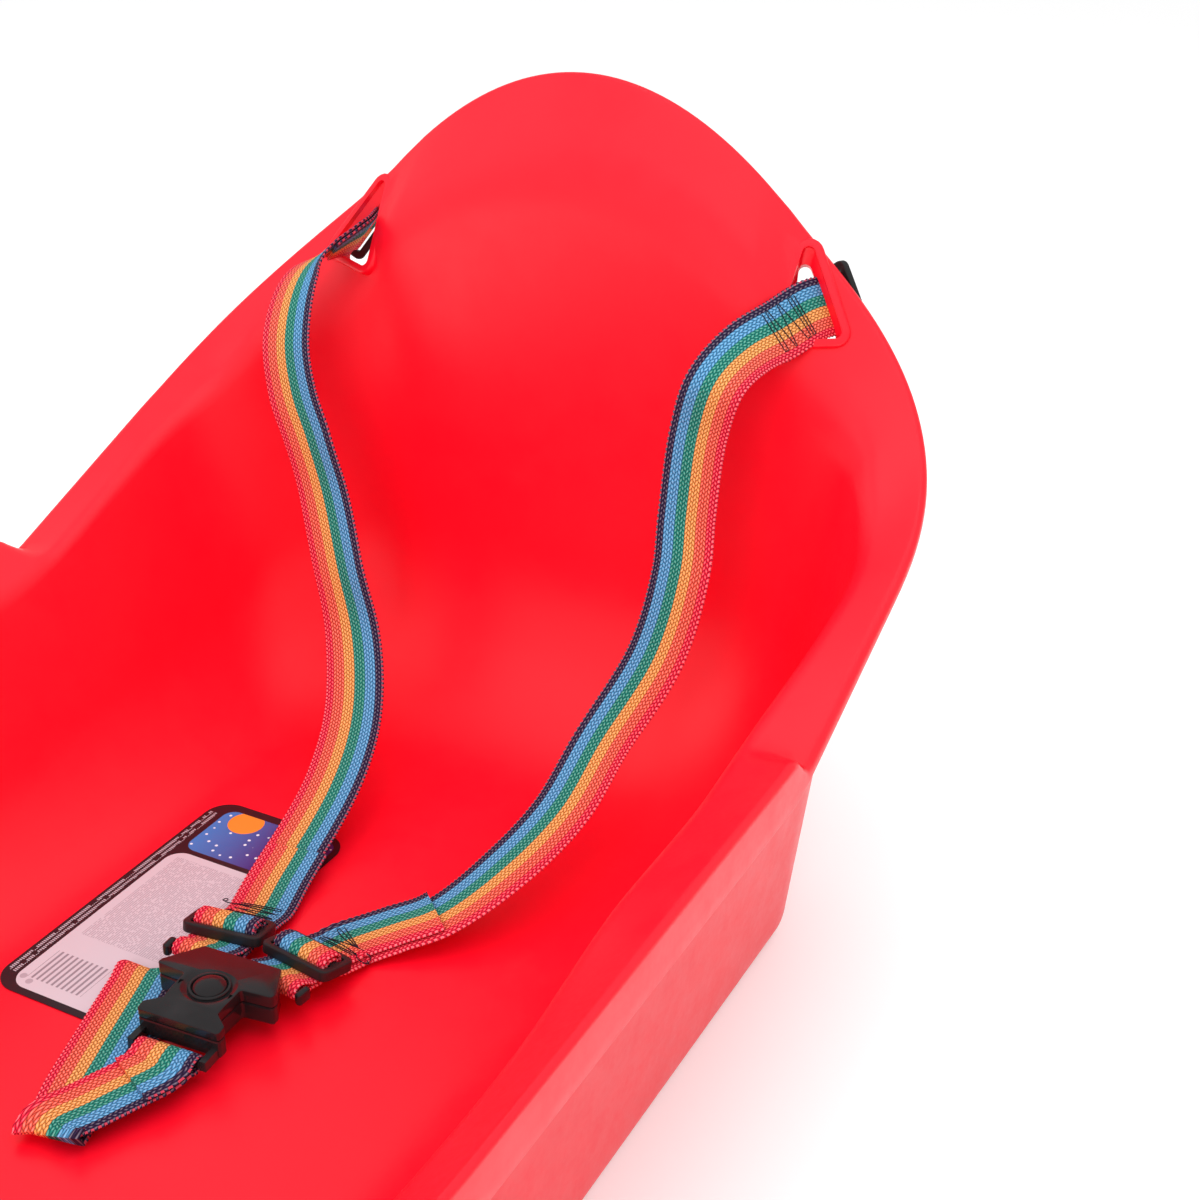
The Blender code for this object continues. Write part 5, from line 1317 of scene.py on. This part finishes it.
def shoulder_guide(side):
    """Slider, slot, back and seat to the adjuster, then level to the tongue's bar."""
    start, passed = slider_point(side)
    width0 = to_side(SLOT_WIDTH_DIR, side) * side
    glide = np.array(GLIDE_AT[side])
    run = [passed + np.array(p) for p in BACK_RUN[side]]
    run += [np.array([glide[0] + x, glide[1] + y, z]) for x, y, z in SEAT_RUN[side]]
    pos, away, _ = tongue_frame(side)
    low = FLOOR_Z + GAP + WEB_T / 2 - WEB_STEP / 2 + 0.4
    lead = np.array([math.sin(GLIDE_TURN[side]), -math.cos(GLIDE_TURN[side])])
    stretch = [glide + lead * (GLIDE_RUN * f) for f in (-2.2, -1.6, -1.0, -0.5, 0.0, 0.4, 0.8)]
    slope = 0.25
    for _ in range(3):
        end = pos - WEB_STEP * unit(away * slope + UP)
        flat_run = stretch + [end[:2] + away[:2] * 6.5, end[:2]]
        lengths = np.cumsum([0.0] + [np.linalg.norm(b - a) for a, b in zip(flat_run, flat_run[1:])])
        slope = (end[2] - low) / lengths[-1]
    heights = low + (end[2] - low) * lengths / lengths[-1]
    pts = [start, passed] + run
    pts += [np.array([p[0], p[1], z]) for p, z in zip(flat_run, heights)]
    pts.append(end - away * 8.0 + np.array([0, 0, slope * 8.0]))
    wide = []
    for i in range(len(run)):
        t = smoothstep(i, -1.0, 3.2)
        wide.append(unit(width0 * (1 - t) + np.array([1.0, 0.0, 0.0]) * t))
    widths = [width0, width0] + wide + [np.array([1.0, 0.0, 0.0])] * (len(flat_run) + 1)
    level = [0.0, 0.0] + list(smoothstep(np.arange(len(run)), len(run) - 6.0, len(run) - 2.0))
    level += [1.0] * (len(flat_run) + 1)
    return Guide(pts, widths, level)


def crotch_guide():
    """From the slot back to a fold, forward on top of itself to a second fold, then to the buckle."""
    x, y = CROTCH_X, CROTCH_SLOT_Y
    fx, fy = CROTCH_FOLD
    rx, ry = CROTCH_RETURN
    low = FLOOR_Z + LABEL_GAP + LABEL_T + GAP + 0.1 + WEB_T / 2 + WEB_STEP / 2
    anchor_z = CHANNEL_ROOF_Z - GAP - ANCHOR_T / 2
    top = low + WEB_STEP * 2.05
    end_z = CROTCH_BAR_Z - WEB_STEP
    bar, past = hub_point(0.0, -CROTCH_BAR_L), hub_point(0.0, WEB_STEP * 3.5 - CROTCH_BAR_L)
    near = hub_point(0.0, -WEB_STEP * 5.0 - CROTCH_BAR_L)
    pts = [(x, y, anchor_z), (x, y, (anchor_z + FLOOR_Z) / 2 + WEB_T), (x - 0.4, y + 1.8, FLOOR_Z + 1.4)]
    for share, z in ((0.13, low), (0.5, low), (0.89, low + 0.1), (1.0, low + WEB_STEP * 1.1)):
        pts.append((x + (fx - x) * share, y + (fy - y) * share, z))
    for share, z in ((0.045, top + 0.15), (0.15, top), (0.5, top), (0.75, top - 0.4), (0.9, low + 1.9),
                     (1.0, low + WEB_STEP * 1.6), (0.955, low + WEB_STEP * 2.2)):
        pts.append((fx + (rx - fx) * share, fy + (ry - fy) * share, z))
    last = np.array(pts[-1])
    for share in (0.3, 0.65):
        pts.append(tuple(last[:2] + (near[:2] - last[:2]) * share) + (last[2] + (end_z - last[2]) * share,))
    pts += [(near[0], near[1], end_z), ((near[0] + bar[0]) / 2, (near[1] + bar[1]) / 2, end_z),
            (bar[0], bar[1], end_z), (past[0], past[1], end_z + 1.0)]
    widths = [(1.0, 0.0, 0.0)] * len(pts)
    return Guide(pts, widths, [0.0] * len(pts))


def layer_drift(path, length, drift):
    """How far the two layers of a doubled strap lie beside each other, from the bar where they turn."""
    past = length - length[np.argmax(path[:, 0])]
    top = smoothstep(past, 34.0, 48.0)
    low = smoothstep(-past, 34.0, 48.0) * (1.0 - smoothstep(-past, 95.0, 140.0))
    return drift * (top - low)


def webbing(name, guide, path, rib_mm, red_side, drift=0.0):
    """Strip of webbing with rounded, ribbed edges that follows a path drawn in the guide's own length."""
    pitch = rib_mm / 4.0
    path, length = even_path(path, pitch)
    beside = layer_drift(path, length, drift)
    smooth = np.ones(5) / 5.0
    padded = np.concatenate([np.repeat(path[:1], 2, axis=0), path, np.repeat(path[-1:], 2, axis=0)])
    path = np.stack([np.convolve(padded[:, k], smooth, mode="valid") for k in range(2)], 1)
    d = unit(np.gradient(path, axis=0))
    side_s, side_n = -d[:, 1], d[:, 0]
    rib = np.cos(2.0 * math.pi * length / rib_mm)
    half_w, half_t = WEB_W / 2.0, WEB_T / 2.0
    columns = np.array([-1.0, -0.965, -0.86, -0.6, -0.3, 0.0, 0.3, 0.6, 0.86, 0.965, 1.0])
    loop = [(c, 1.0) for c in columns[1:-1]] + [(1.0, 0.0)] + [(c, -1.0) for c in columns[1:-1][::-1]]
    loop = loop + [(-1.0, 0.0), loop[0]]
    table = np.zeros((len(path) + 2, len(loop), 3))
    uv = np.zeros((len(path) + 2, len(loop), 2))
    for c, (b, face) in enumerate(loop):
        edge = abs(b) > 0.9
        wide = half_w + (RIB_SIDE * rib if edge else 0.0)
        taper = 1.0 - 0.45 * max(0.0, (abs(b) - 0.9) / 0.1)
        thick = face * (half_t * taper + RIB_FACE * rib)
        points = guide.place(path[:, 0] + side_s * thick, path[:, 1] + side_n * thick, b * wide + beside)
        table[1:-1, c] = points
        middle = guide.place(path[[0, -1], 0], path[[0, -1], 1], b * half_w + beside[[0, -1]])
        table[0, c], table[-1, c] = middle
        place = (1.0 - b * red_side) / 2.0 * WEB_W * MM
        uv[1:-1, c, 0] = place
        uv[1:-1, c, 1] = length * MM
        uv[0, c] = (place, 0.0)
        uv[-1, c] = (place, length[-1] * MM)
    return surface_piece(name, table, uv, angle=60.0)


class SLED_OT_harness(bpy.types.Operator):
    """Shoulder straps and crotch strap of rainbow webbing"""
    bl_idname = "sled.harness"
    bl_label = "Webbing"

    def execute(self, context):
        settings = context.scene.sled_webbing
        mat = rainbow_webbing(settings)
        rib = settings.rib / MM
        for side, tag in SIDES:
            guide = shoulder_guide(side)
            name = "shoulder_strap_" + tag
            strap = webbing("webbing_shoulder_" + tag, guide, shoulder_path(guide.knots[-6], guide.knots[-2]),
                            rib, side, -LAYER_DRIFT * side)
            dress(strap, mat, None, "webbing", name)
            top, low = metres([[0.0, BLEND_START_Y, 0.0], [0.0, BLEND_END_Y, 0.0]])
            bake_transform(strap)
        guide = crotch_guide()
        low, high = WEB_STEP / 2, WEB_STEP * 1.5
        bar = guide.knots[-2]
        pts, radii = loop_start(TAIL_CROTCH)
        turn, r = loop_end(bar, low, high, [(bar - 20.0, high)])
        strap = webbing("webbing_crotch", guide, rounded_path(pts + turn, radii + r), rib, -1.0)
        dress(strap, mat, "sled", "webbing", "crotch_strap")
        return {"FINISHED"}


def along_curve(name, paths, radius_mm):
    """Threads as round bevelled curves, made a mesh."""
    curve = bpy.data.curves.new(name, "CURVE")
    curve.dimensions = "3D"
    curve.bevel_depth = radius_mm * MM
    curve.bevel_resolution = 2
    curve.use_fill_caps = True
    for path in paths:
        points = metres(path)
        line = curve.splines.new("POLY")
        line.points.add(len(points) - 1)
        for mark, p in zip(line.points, points):
            mark.co = (p[0], p[1], p[2], 1.0)
    ob = bpy.data.objects.new(name, curve)
    bpy.context.scene.collection.objects.link(ob)
    activate(ob)
    bpy.ops.object.convert(target="MESH")
    ob = bpy.context.object
    activate(ob)
    bpy.ops.object.shade_smooth()
    return ob


def stitch_line(guide, points, level, radius):
    """Thread through points (length, across): each stitch rises over the webbing and dips at its ends."""
    out = []
    for (s0, b0), (s1, b1) in zip(points, points[1:]):
        for t in np.linspace(0.0, 1.0, 9)[:-1]:
            rise = radius * (THREAD_RISE * math.sin(math.pi * t) ** 0.5 - THREAD_DIP)
            out.append((s0 + (s1 - s0) * t, b0 + (b1 - b0) * t, level + rise))
    out.append((points[-1][0], points[-1][1], level - radius * THREAD_DIP))
    s, b, n = (np.array(v) for v in zip(*out))
    return guide.place(s, n, b)


def box_stitch(s_mid, wide, rows, slanted):
    """Tack of cross lines with a zigzag between them, as one thread."""
    pts = []
    for k, ds in enumerate(rows):
        sign = 1.0 if k % 2 == 0 else -1.0
        lean = ROW_LEAN if k in slanted else 0.0
        pts.append((s_mid + ds - lean, -wide * sign))
        pts.append((s_mid + ds + lean, wide * sign))
    return pts


def loose_end(guide, s, b, level, out, turns):
    """Thin thread that leaves the webbing in a flat curl."""
    t = np.linspace(0.0, 1.0, 48)
    angle = turns * 2.0 * math.pi * t
    radius = CURL * np.sin(math.pi * t)
    ds = radius * np.sin(angle) + out[0] * t
    db = radius * (1.0 - np.cos(angle)) * np.sign(out[1]) + out[1] * t
    return guide.place(s + ds, level + 0.4 - 0.8 * t, b + db)


class SLED_OT_stitching(bpy.types.Operator):
    """Sewn tacks on the shoulder straps, thread by thread"""
    bl_idname = "sled.stitching"
    bl_label = "Stitching"

    def execute(self, context):
        mat = sewing_thread()
        radius = context.scene.sled_fittings.thread / MM / 2.0
        for side, tag in SIDES:
            guide = shoulder_guide(side)
            glide = guide.knots[-6]
            upper = WEB_STEP / 2 + WEB_T / 2 + radius * THREAD_LIFT
            tack = box_stitch(UPPER_AT, UPPER_HALF, UPPER_ROWS, UPPER_SLANTED)
            path = stitch_line(guide, tack, upper, radius)
            ob = along_curve("thread_upper_" + tag, [path], radius)
            dress(ob, mat, "sled", "thread", "stitching_upper_" + tag)
            lower = WEB_STEP * 1.5 + WEB_T / 2 + radius * THREAD_LIFT
            s_mid = glide - GLIDE_SHORT / 2 - LOWER_BACK
            edge = LOWER_HALF * side
            path = stitch_line(guide, box_stitch(s_mid, LOWER_HALF, LOWER_ROWS, LOWER_SLANTED), lower, radius)
            ends = [loose_end(guide, s_mid - 3.0, edge, lower, (-3.0, 8.5 * side), 1.3),
                    loose_end(guide, s_mid + 4.0, edge, lower, (3.0, 7.0 * side), 0.8)]
            ob = along_curve("thread_lower_" + tag, [path] + ends, radius)
            dress(ob, mat, "tongue_" + tag, "thread", "stitching_lower_" + tag)
        return {"FINISHED"}


# Frames and buckle


def slab(name, size, corner, seg=6):
    """Rounded plate from a cube primitive: long on X, short on Y, thick on Z, in millimetres."""
    deselect()
    bpy.ops.mesh.primitive_cube_add(size=1.0)
    ob = bpy.context.object
    ob.name = name
    ob.data.name = name
    ob.data.transform(Matrix.Diagonal((size[0] * MM, size[1] * MM, size[2] * MM, 1.0)))
    activate(ob)
    bpy.ops.object.mode_set(mode="EDIT")
    bpy.ops.mesh.select_all(action="DESELECT")
    bpy.ops.mesh.select_mode(type="EDGE")
    bpy.ops.object.mode_set(mode="OBJECT")
    for edge in ob.data.edges:
        a, b = (ob.data.vertices[v].co for v in edge.vertices)
        edge.select = abs(a.z - b.z) > size[2] * MM * 0.5
    bpy.ops.object.mode_set(mode="EDIT")
    bpy.ops.mesh.bevel(offset=corner * MM, segments=seg, affect="EDGES")
    bpy.ops.object.mode_set(mode="OBJECT")
    return ob


def basis(centre, x_dir, y_dir, z_dir):
    """Matrix that lays a piece made at the origin at its place in the sled."""
    return axes_matrix((x_dir, y_dir, z_dir), metres([centre])[0])


def slotted_frame(name, size, slot, bar, edge, place):
    """Rounded frame with two slots and a bar between them, laid at its place."""
    ob = slab(name, size, FRAME_CORNER)
    for sign in (1.0, -1.0):
        cutter = slab("slot_form", (FRAME_SLOT_LONG, slot, size[2] * 3), FRAME_SLOT_CORNER, 3)
        cutter.data.transform(Matrix.Translation((0.0, sign * (bar / 2 + slot / 2) * MM, 0.0)))
        cut(ob, cutter, "DIFFERENCE")
    soften(ob, edge, 4)
    ob.data.transform(place)
    weld(ob)
    return ob


def round_bar_frame(name, guide, edge):
    """Frame round the strap's first bar, standing across the webbing."""
    base, _, across, normal = guide.at(0.0)
    return slotted_frame(name, (ANCHOR_LONG, ANCHOR_SHORT, ANCHOR_T), ANCHOR_SLOT, 2 * BAR_R, edge,
                         basis(base, across, normal, np.cross(across, normal)))


class SLED_OT_frames(bpy.types.Operator):
    """Strap adjusters, back sliders and the crotch anchor"""
    bl_idname = "sled.frames"
    bl_label = "Strap frames"

    def execute(self, context):
        mat = black_plastic("frame_black", context.scene.sled_fittings, 0.42, 0.25)
        for side, tag in SIDES:
            guide = shoulder_guide(side)
            base, t, across, normal = guide.at(guide.knots[-6])
            place = basis(base + normal * (GLIDE_LOW + GLIDE_T / 2), across, t, np.cross(across, t))
            glide = slotted_frame("adjuster_" + tag, (GLIDE_LONG, GLIDE_SHORT, GLIDE_T + 0.5), GLIDE_SLOT,
                                  GLIDE_BAR, GLIDE_EDGE, place)
            dress(glide, mat, "tongue_" + tag, "fittings", "strap_adjuster_" + tag)
            slider = round_bar_frame("slider_" + tag, guide, SLIDER_EDGE)
            dress(slider, mat, "sled", "fittings", "back_slider_" + tag)
        anchor = round_bar_frame("floor_anchor", crotch_guide(), ANCHOR_EDGE)
        dress(anchor, mat, "sled", "fittings", "crotch_anchor")
        return {"FINISHED"}


def plate(name, outline, low, high):
    """Flat form from a filled circle primitive laid on the outline, then extruded to its height."""
    deselect()
    bpy.ops.mesh.primitive_circle_add(vertices=len(outline), radius=0.01, fill_type="NGON")
    ob = bpy.context.object
    ob.name = name
    ob.data.name = name
    ring = np.array(outline, float)
    ring[:, 2] = low
    ob.data.vertices.foreach_set("co", metres(ring).ravel())
    edit_all(ob)
    bpy.ops.mesh.extrude_region_move(TRANSFORM_OT_translate={"value": (0.0, 0.0, (high - low) * MM)})
    bpy.ops.mesh.select_all(action="SELECT")
    bpy.ops.mesh.normals_make_consistent(inside=False)
    bpy.ops.object.mode_set(mode="OBJECT")
    return ob


def plane_down(ob, point, normal):
    """Cut away what stands above a plane and close the cut."""
    edit_all(ob)
    bpy.ops.mesh.bisect(plane_co=tuple(metres([point])[0]), plane_no=tuple(normal), use_fill=True,
                        clear_outer=True)
    bpy.ops.object.mode_set(mode="OBJECT")


def turned(name, profile, centre, seg=64, angle=30.0):
    """Closed round form about an upright axis from (radius, height) pairs, low to high."""
    return stack_piece(name, [round_outline(centre[0], centre[1], r, z, seg) for r, z in profile], angle)


def hub_hollow(name, low, high):
    """Room inside the buckle's walls."""
    rear = HUB_REAR_W / 2.0 - HUB_WALL
    wing, waist = HUB_WING_W / 2.0 - HUB_WALL * 2.0, HUB_WAIST_W / 2.0 - HUB_WALL
    half = [(rear, BASE_REAR_L - HUB_WALL), (wing, HUB_WING_L + HUB_WALL), (waist, HUB_WALL),
            (waist - HUB_WALL, -HUB_WAIST_L)]
    return plate(name, hub_ring(half, WELL_CORNER, 2), low, high)


class SLED_OT_buckle(bpy.types.Operator):
    """Buckle with its tongues, cover, push button and spring"""
    bl_idname = "sled.buckle"
    bl_label = "Buckle"

    def execute(self, context):
        gloss = black_plastic("buckle_black", context.scene.sled_fittings, 0.2, 0.04)
        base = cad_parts["buckle_base"]
        base.data.materials.clear()
        base.data.materials.append(gloss)
        self.spring()
        dress(self.cover(), gloss, "sled", "fittings", "buckle_cover")
        dress(self.button(), gloss, "button", "fittings", "release_button")
        for side, tag in SIDES:
            dress(self.tongue(side, tag), gloss, "tongue_" + tag, "fittings", "buckle_tongue_" + tag)
        return {"FINISHED"}

    def cover(self):
        """Upper shell with a sloping deck, the button's scoop and ring, and two small notches."""
        low, top = HUB_SPLIT_Z + GAP, HUB_TOP_Z
        centre = button_centre()
        cover = plate("buckle_shell", hub_outline(HUB_REAR_L), low, top)
        deck = math.hypot(1.0, COVER_DECK_SLOPE)
        back = hub_point(0.0, 1.0) - hub_point(0.0, 0.0)
        plane_down(cover, hub_point(0.0, COVER_DECK_L, top),
                   (back * COVER_DECK_SLOPE + UP) / deck)
        plane_down(cover, hub_point(0.0, -NOSE_START_L, top), unit(UP - back * NOSE_SLOPE))
        soften(cover, COVER_EDGE, 4, 24.0)
        roof = top - HUB_WALL
        cut(cover, hub_hollow("cavity_form", low - 5.0, roof - HUB_WALL), "DIFFERENCE")
        room = BUTTON_FLANGE_R + BUTTON_CLEAR * 2.0
        cut(cover, turned("room_form", [(room, low - 5.0), (room, roof)], centre), "DIFFERENCE")
        wide = BUTTON_R + BUTTON_CLEAR
        scoop = [(wide, low), (wide, roof + 0.15), (wide + 0.35, roof + 0.35), (wide + 1.2, roof + 0.42),
                 (wide + 2.0, roof + 0.6), (SCOOP_R - 0.8, top - 0.35), (SCOOP_R, top + 0.02),
                 (SCOOP_R + 0.3, top + 3.0)]
        cut(cover, turned("scoop_form", scoop, centre), "DIFFERENCE")
        collar = [(wide + 1.3, roof - 0.2), (wide + 1.25, roof + 0.9), (wide + 1.05, roof + 1.2),
                  (wide + 0.7, roof + 1.3)]
        ring = turned("ring_form", collar, centre)
        cut(ring, turned("ring_hole", [(wide, low), (wide, roof + 1.0), (wide + 0.4, roof + 1.6)], centre),
            "DIFFERENCE")
        cut(cover, ring, "UNION")
        for side, _ in SIDES:
            notch = [hub_point(side * u, v) for u, v in NOTCH]
            cut(cover, plate("notch_form", notch, top - 1.2, top + 1.0), "DIFFERENCE")
        shade(cover, 32.0)
        return cover

    def button(self):
        """Domed push button with its flange, stem and bore."""
        floor = TONGUE_Z - TONGUE_T / 2 - TONGUE_SHY
        under = HUB_TOP_Z - HUB_WALL - GAP
        top, foot = BUTTON_TOP_Z, floor + STEM_LIFT
        centre = button_centre()
        arc = [(BUTTON_R * math.sin(a), top - BUTTON_DOME * (1.0 - math.cos(a)))
               for a in np.radians(np.linspace(84.0, 4.0, 14))]
        profile = [(STEM_R, foot), (STEM_R, under - HUB_WALL), (BUTTON_FLANGE_R, under - HUB_WALL),
                   (BUTTON_FLANGE_R, under), (BUTTON_R, under), (BUTTON_R, top - 2.15)] + arc
        button = turned("push_button", profile, centre)
        bore = POST_R + TONGUE_SHY
        bore_form = turned("bore_form", [(bore, floor), (bore, under - HUB_WALL / 3)], centre, 32)
        cut(button, bore_form, "DIFFERENCE")
        shade(button, 32.0)
        return button

    def spring(self):
        """Coil under the button."""
        low = TONGUE_Z - TONGUE_T / 2 - TONGUE_SHY + SPRING_WIRE * 1.5
        rise = STEM_LIFT - SPRING_WIRE * 3.0
        x, y, _ = button_centre()
        t = np.linspace(0.0, 1.0, SPRING_TURNS * 24 + 1)
        turn = 2.0 * math.pi * SPRING_TURNS * t
        helix = np.stack([x + SPRING_R * np.cos(turn), y + SPRING_R * np.sin(turn), low + rise * t], axis=1)
        coil = along_curve("coil_spring", [helix], SPRING_WIRE)
        dress(coil, spring_steel(), "sled", "spring", "button_spring")
        foot = metres([[x, y, low - SPRING_WIRE]])[0]
        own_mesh(coil)

    def tongue(self, side, tag):
        """Latch tongue with bar and knobs. Known fault: the union with the bar leaves only the knobs."""
        pos, away, bar = tongue_frame(side)
        arm = TONGUE_SLOT_LONG / 2
        neck = WRAP_R + WEB_T / 2 + TONGUE_SHY
        length = (pos[1] - BLADE_END_Y) / away[1]
        shift, half = -side * BLADE_SHIFT, BLADE_W / 2
        outer, end, deep = arm + TONGUE_ARM, BAR_R + TONGUE_SHY, neck + TONGUE_NECK

        def at(a, b):
            return pos + bar * a - away * b

        outline = [at(-outer, -end), at(-arm, -end), at(-arm, neck), at(arm, neck), at(arm, -end),
                   at(outer, -end), at(outer, neck), at(shift + half, deep),
                   at(shift + half, length - half / 2), at(shift + half / 2, length),
                   at(shift - half / 2, length),
                   at(shift - half, length - half / 2), at(shift - half, deep), at(-outer, neck)]
        low, high = TONGUE_Z - TONGUE_T / 2, TONGUE_Z + TONGUE_T / 2
        tongue = plate("latch_tongue_" + tag, outline, low, high)
        soften(tongue, TONGUE_EDGE, 3, 30.0)
        hole = [at(shift + a * half / 2, length - half + b * half / 4) for a, b in CORNERS]
        cut(tongue, plate("notch_form", hole, low - 1.0, high + 1.0), "DIFFERENCE")
        rings = [[at(a, 0.0) + (away * math.cos(t) + UP * math.sin(t)) * BAR_R
                  for t in np.linspace(0.0, 2 * math.pi, 24, endpoint=False)]
                 for a in (TONGUE_SHY - outer, outer - TONGUE_SHY)]
        rod = stack_piece("rod_form", rings)
        cut(tongue, rod, "UNION")
        for sign in (1.0, -1.0):
            knob = slab("end_form", (END_W, neck + end + 0.8, END_T), END_CORNER, 5)
            soften(knob, END_EDGE, 4, 60.0)
            knob.data.transform(basis(at(sign * (arm + END_W / 2 + 0.1), (neck - end) / 2), bar, away, UP))
            cut(tongue, knob, "UNION")
        shade(tongue, 40.0)
        return tongue


class SLED_OT_label(bpy.types.Operator):
    """Printed sticker on the seat floor"""
    bl_idname = "sled.label"
    bl_label = "Seat label"

    def execute(self, context):
        pts = [(LABEL_C[0] + a * LABEL_W / 2, LABEL_C[1] + b * LABEL_L / 2, FLOOR_Z + LABEL_GAP)
               for a, b in CORNERS]
        outline = rounded_polygon(pts, LABEL_CORNER, 10)
        levels = [outline, [p + UP * LABEL_T for p in outline]]
        label = stack_piece("printed_sticker", levels, angle=30.0)
        layer = label.data.uv_layers.active
        corner = metres([[LABEL_C[0] - LABEL_W / 2, LABEL_C[1] - LABEL_L / 2, 0.0]])[0]
        for poly in label.data.polygons:
            for k in poly.loop_indices:
                v = label.data.vertices[label.data.loops[k].vertex_index].co
                layer.data[k].uv = (v.x - corner[0], v.y - corner[1])
        dress(label, printed_label(context.scene.sled_label), "sled", "label", "seat_label")
        return {"FINISHED"}


def camera_matrix(place):
    """Turn, tilt and roll of the camera as found from the photograph."""
    turn, tilt, roll = CAMERA_TURN, CAMERA_TILT, CAMERA_ROLL
    right = Vector((math.cos(turn), math.sin(turn), 0.0))
    ahead = Vector((-math.sin(turn) * math.cos(tilt), math.cos(turn) * math.cos(tilt), -math.sin(tilt)))
    up = right.cross(ahead)
    side = right * math.cos(roll) + up * math.sin(roll)
    top = up * math.cos(roll) - right * math.sin(roll)
    return axes_matrix((side, top, -ahead), place)


class SLED_OT_stage(bpy.types.Operator):
    """Pale floor, white surround, soft lights and the camera"""
    bl_idname = "sled.stage"
    bl_label = "Stage"

    def execute(self, context):
        settings = context.scene.sled_stage
        scene = context.scene
        scene.view_settings.view_transform = "Standard"
        self.floor()
        self.surround(scene, settings)
        for name, share, place, target, size in LAMPS:
            self.lamp(name, settings.key * share, place, target, size)
        data = bpy.data.cameras.new("view")
        data.lens = settings.lens
        data.sensor_width = 36.0
        data.clip_start = 0.01
        camera = bpy.data.objects.new("view", data)
        scene.collection.objects.link(camera)
        camera.matrix_world = camera_matrix(settings.camera)
        scene.camera = camera
        return {"FINISHED"}

    def floor(self):
        """Matt floor that also glows a little in the picture and in reflections."""
        deselect()
        bpy.ops.mesh.primitive_plane_add(size=12.0, location=(0.0, 0.0, 0.0))
        floor = bpy.context.object
        floor.name = "floor"
        n = Nodes("pale_floor")
        n.surface(Base_Color=(0.86, 0.86, 0.86, 1.0), Roughness=0.9)
        glow = n.add("ShaderNodeEmission", Strength=0.25)
        rays = n.add("ShaderNodeLightPath")
        seen = n.math("MAXIMUM", rays.outputs["Is Camera Ray"], rays.outputs["Is Glossy Ray"])
        seen = n.math("MAXIMUM", seen, rays.outputs["Is Transmission Ray"])
        black = n.add("ShaderNodeEmission", Strength=0.0)
        pick = n.add("ShaderNodeMixShader")
        n.link(seen, pick.inputs[0])
        n.link(black.outputs[0], pick.inputs[1])
        n.link(glow.outputs[0], pick.inputs[2])
        both = n.add("ShaderNodeAddShader")
        n.link(n.bsdf.outputs[0], both.inputs[0])
        n.link(pick.outputs[0], both.inputs[1])
        n.link(both.outputs[0], n.tree.nodes["Material Output"].inputs["Surface"])
        floor.data.materials.append(n.mat)

    def surround(self, scene, settings):
        """White world, weaker as a light and weaker still in reflections."""
        world = bpy.data.worlds.new("surround")
        scene.world = world
        world.use_nodes = True
        tree = world.node_tree
        back = tree.nodes["Background"]
        back.inputs["Color"].default_value = (1.0, 1.0, 1.0, 1.0)
        rays = tree.nodes.new("ShaderNodeLightPath")
        mirrored = tree.nodes.new("ShaderNodeMapRange")
        tree.links.new(rays.outputs["Is Glossy Ray"], mirrored.inputs["Value"])
        mirrored.inputs["To Min"].default_value = settings.sky
        mirrored.inputs["To Max"].default_value = settings.mirrored
        level = tree.nodes.new("ShaderNodeMapRange")
        tree.links.new(rays.outputs["Is Camera Ray"], level.inputs["Value"])
        tree.links.new(mirrored.outputs["Result"], level.inputs["To Min"])
        level.inputs["To Max"].default_value = 1.0
        tree.links.new(level.outputs["Result"], back.inputs["Strength"])

    def lamp(self, name, power, place, target, size):
        """Square area light, not seen in reflections."""
        data = bpy.data.lights.new(name, "AREA")
        data.energy = power
        data.shape = "SQUARE"
        data.size = size
        ob = bpy.data.objects.new(name, data)
        bpy.context.scene.collection.objects.link(ob)
        ob.visible_glossy = False
        ob.location = place
        ob.rotation_euler = (Vector(target) - Vector(place)).to_track_quat("-Z", "Y").to_euler()


class SLED_PT_panel(bpy.types.Panel):
    """Sidebar panel with the sled's settings and operators"""
    bl_idname = "SLED_PT_panel"
    bl_label = "Sled"
    bl_space_type = "VIEW_3D"
    bl_region_type = "UI"
    bl_category = "Sled"

    def draw(self, context):
        layout = self.layout
        for group in ("sled_shell", "sled_webbing", "sled_fittings", "sled_label", "sled_stage"):
            settings = getattr(context.scene, group)
            for key in settings.__annotations__:
                layout.prop(settings, key)
        for operator in OPERATORS:
            layout.operator(operator.bl_idname)


GROUPS = {
    "sled_shell": SledShellSettings,
    "sled_webbing": WebbingSettings,
    "sled_fittings": FittingSettings,
    "sled_label": LabelSettings,
    "sled_stage": StageSettings,
}
OPERATORS = (SLED_OT_stage, SLED_OT_shell, SLED_OT_harness, SLED_OT_stitching, SLED_OT_frames,
             SLED_OT_buckle, SLED_OT_label)


def register():
    for cls in (*GROUPS.values(), *OPERATORS, SLED_PT_panel):
        bpy.utils.register_class(cls)
    for name, cls in GROUPS.items():
        setattr(bpy.types.Scene, name, bpy.props.PointerProperty(type=cls))


def unregister():
    for name in GROUPS:
        delattr(bpy.types.Scene, name)
    for cls in reversed((*GROUPS.values(), *OPERATORS, SLED_PT_panel)):
        bpy.utils.unregister_class(cls)


def main():
    register()
    for operator in OPERATORS:
        getattr(bpy.ops.sled, operator.bl_idname.split(".")[1])()


if __name__ == "__main__":
    main()
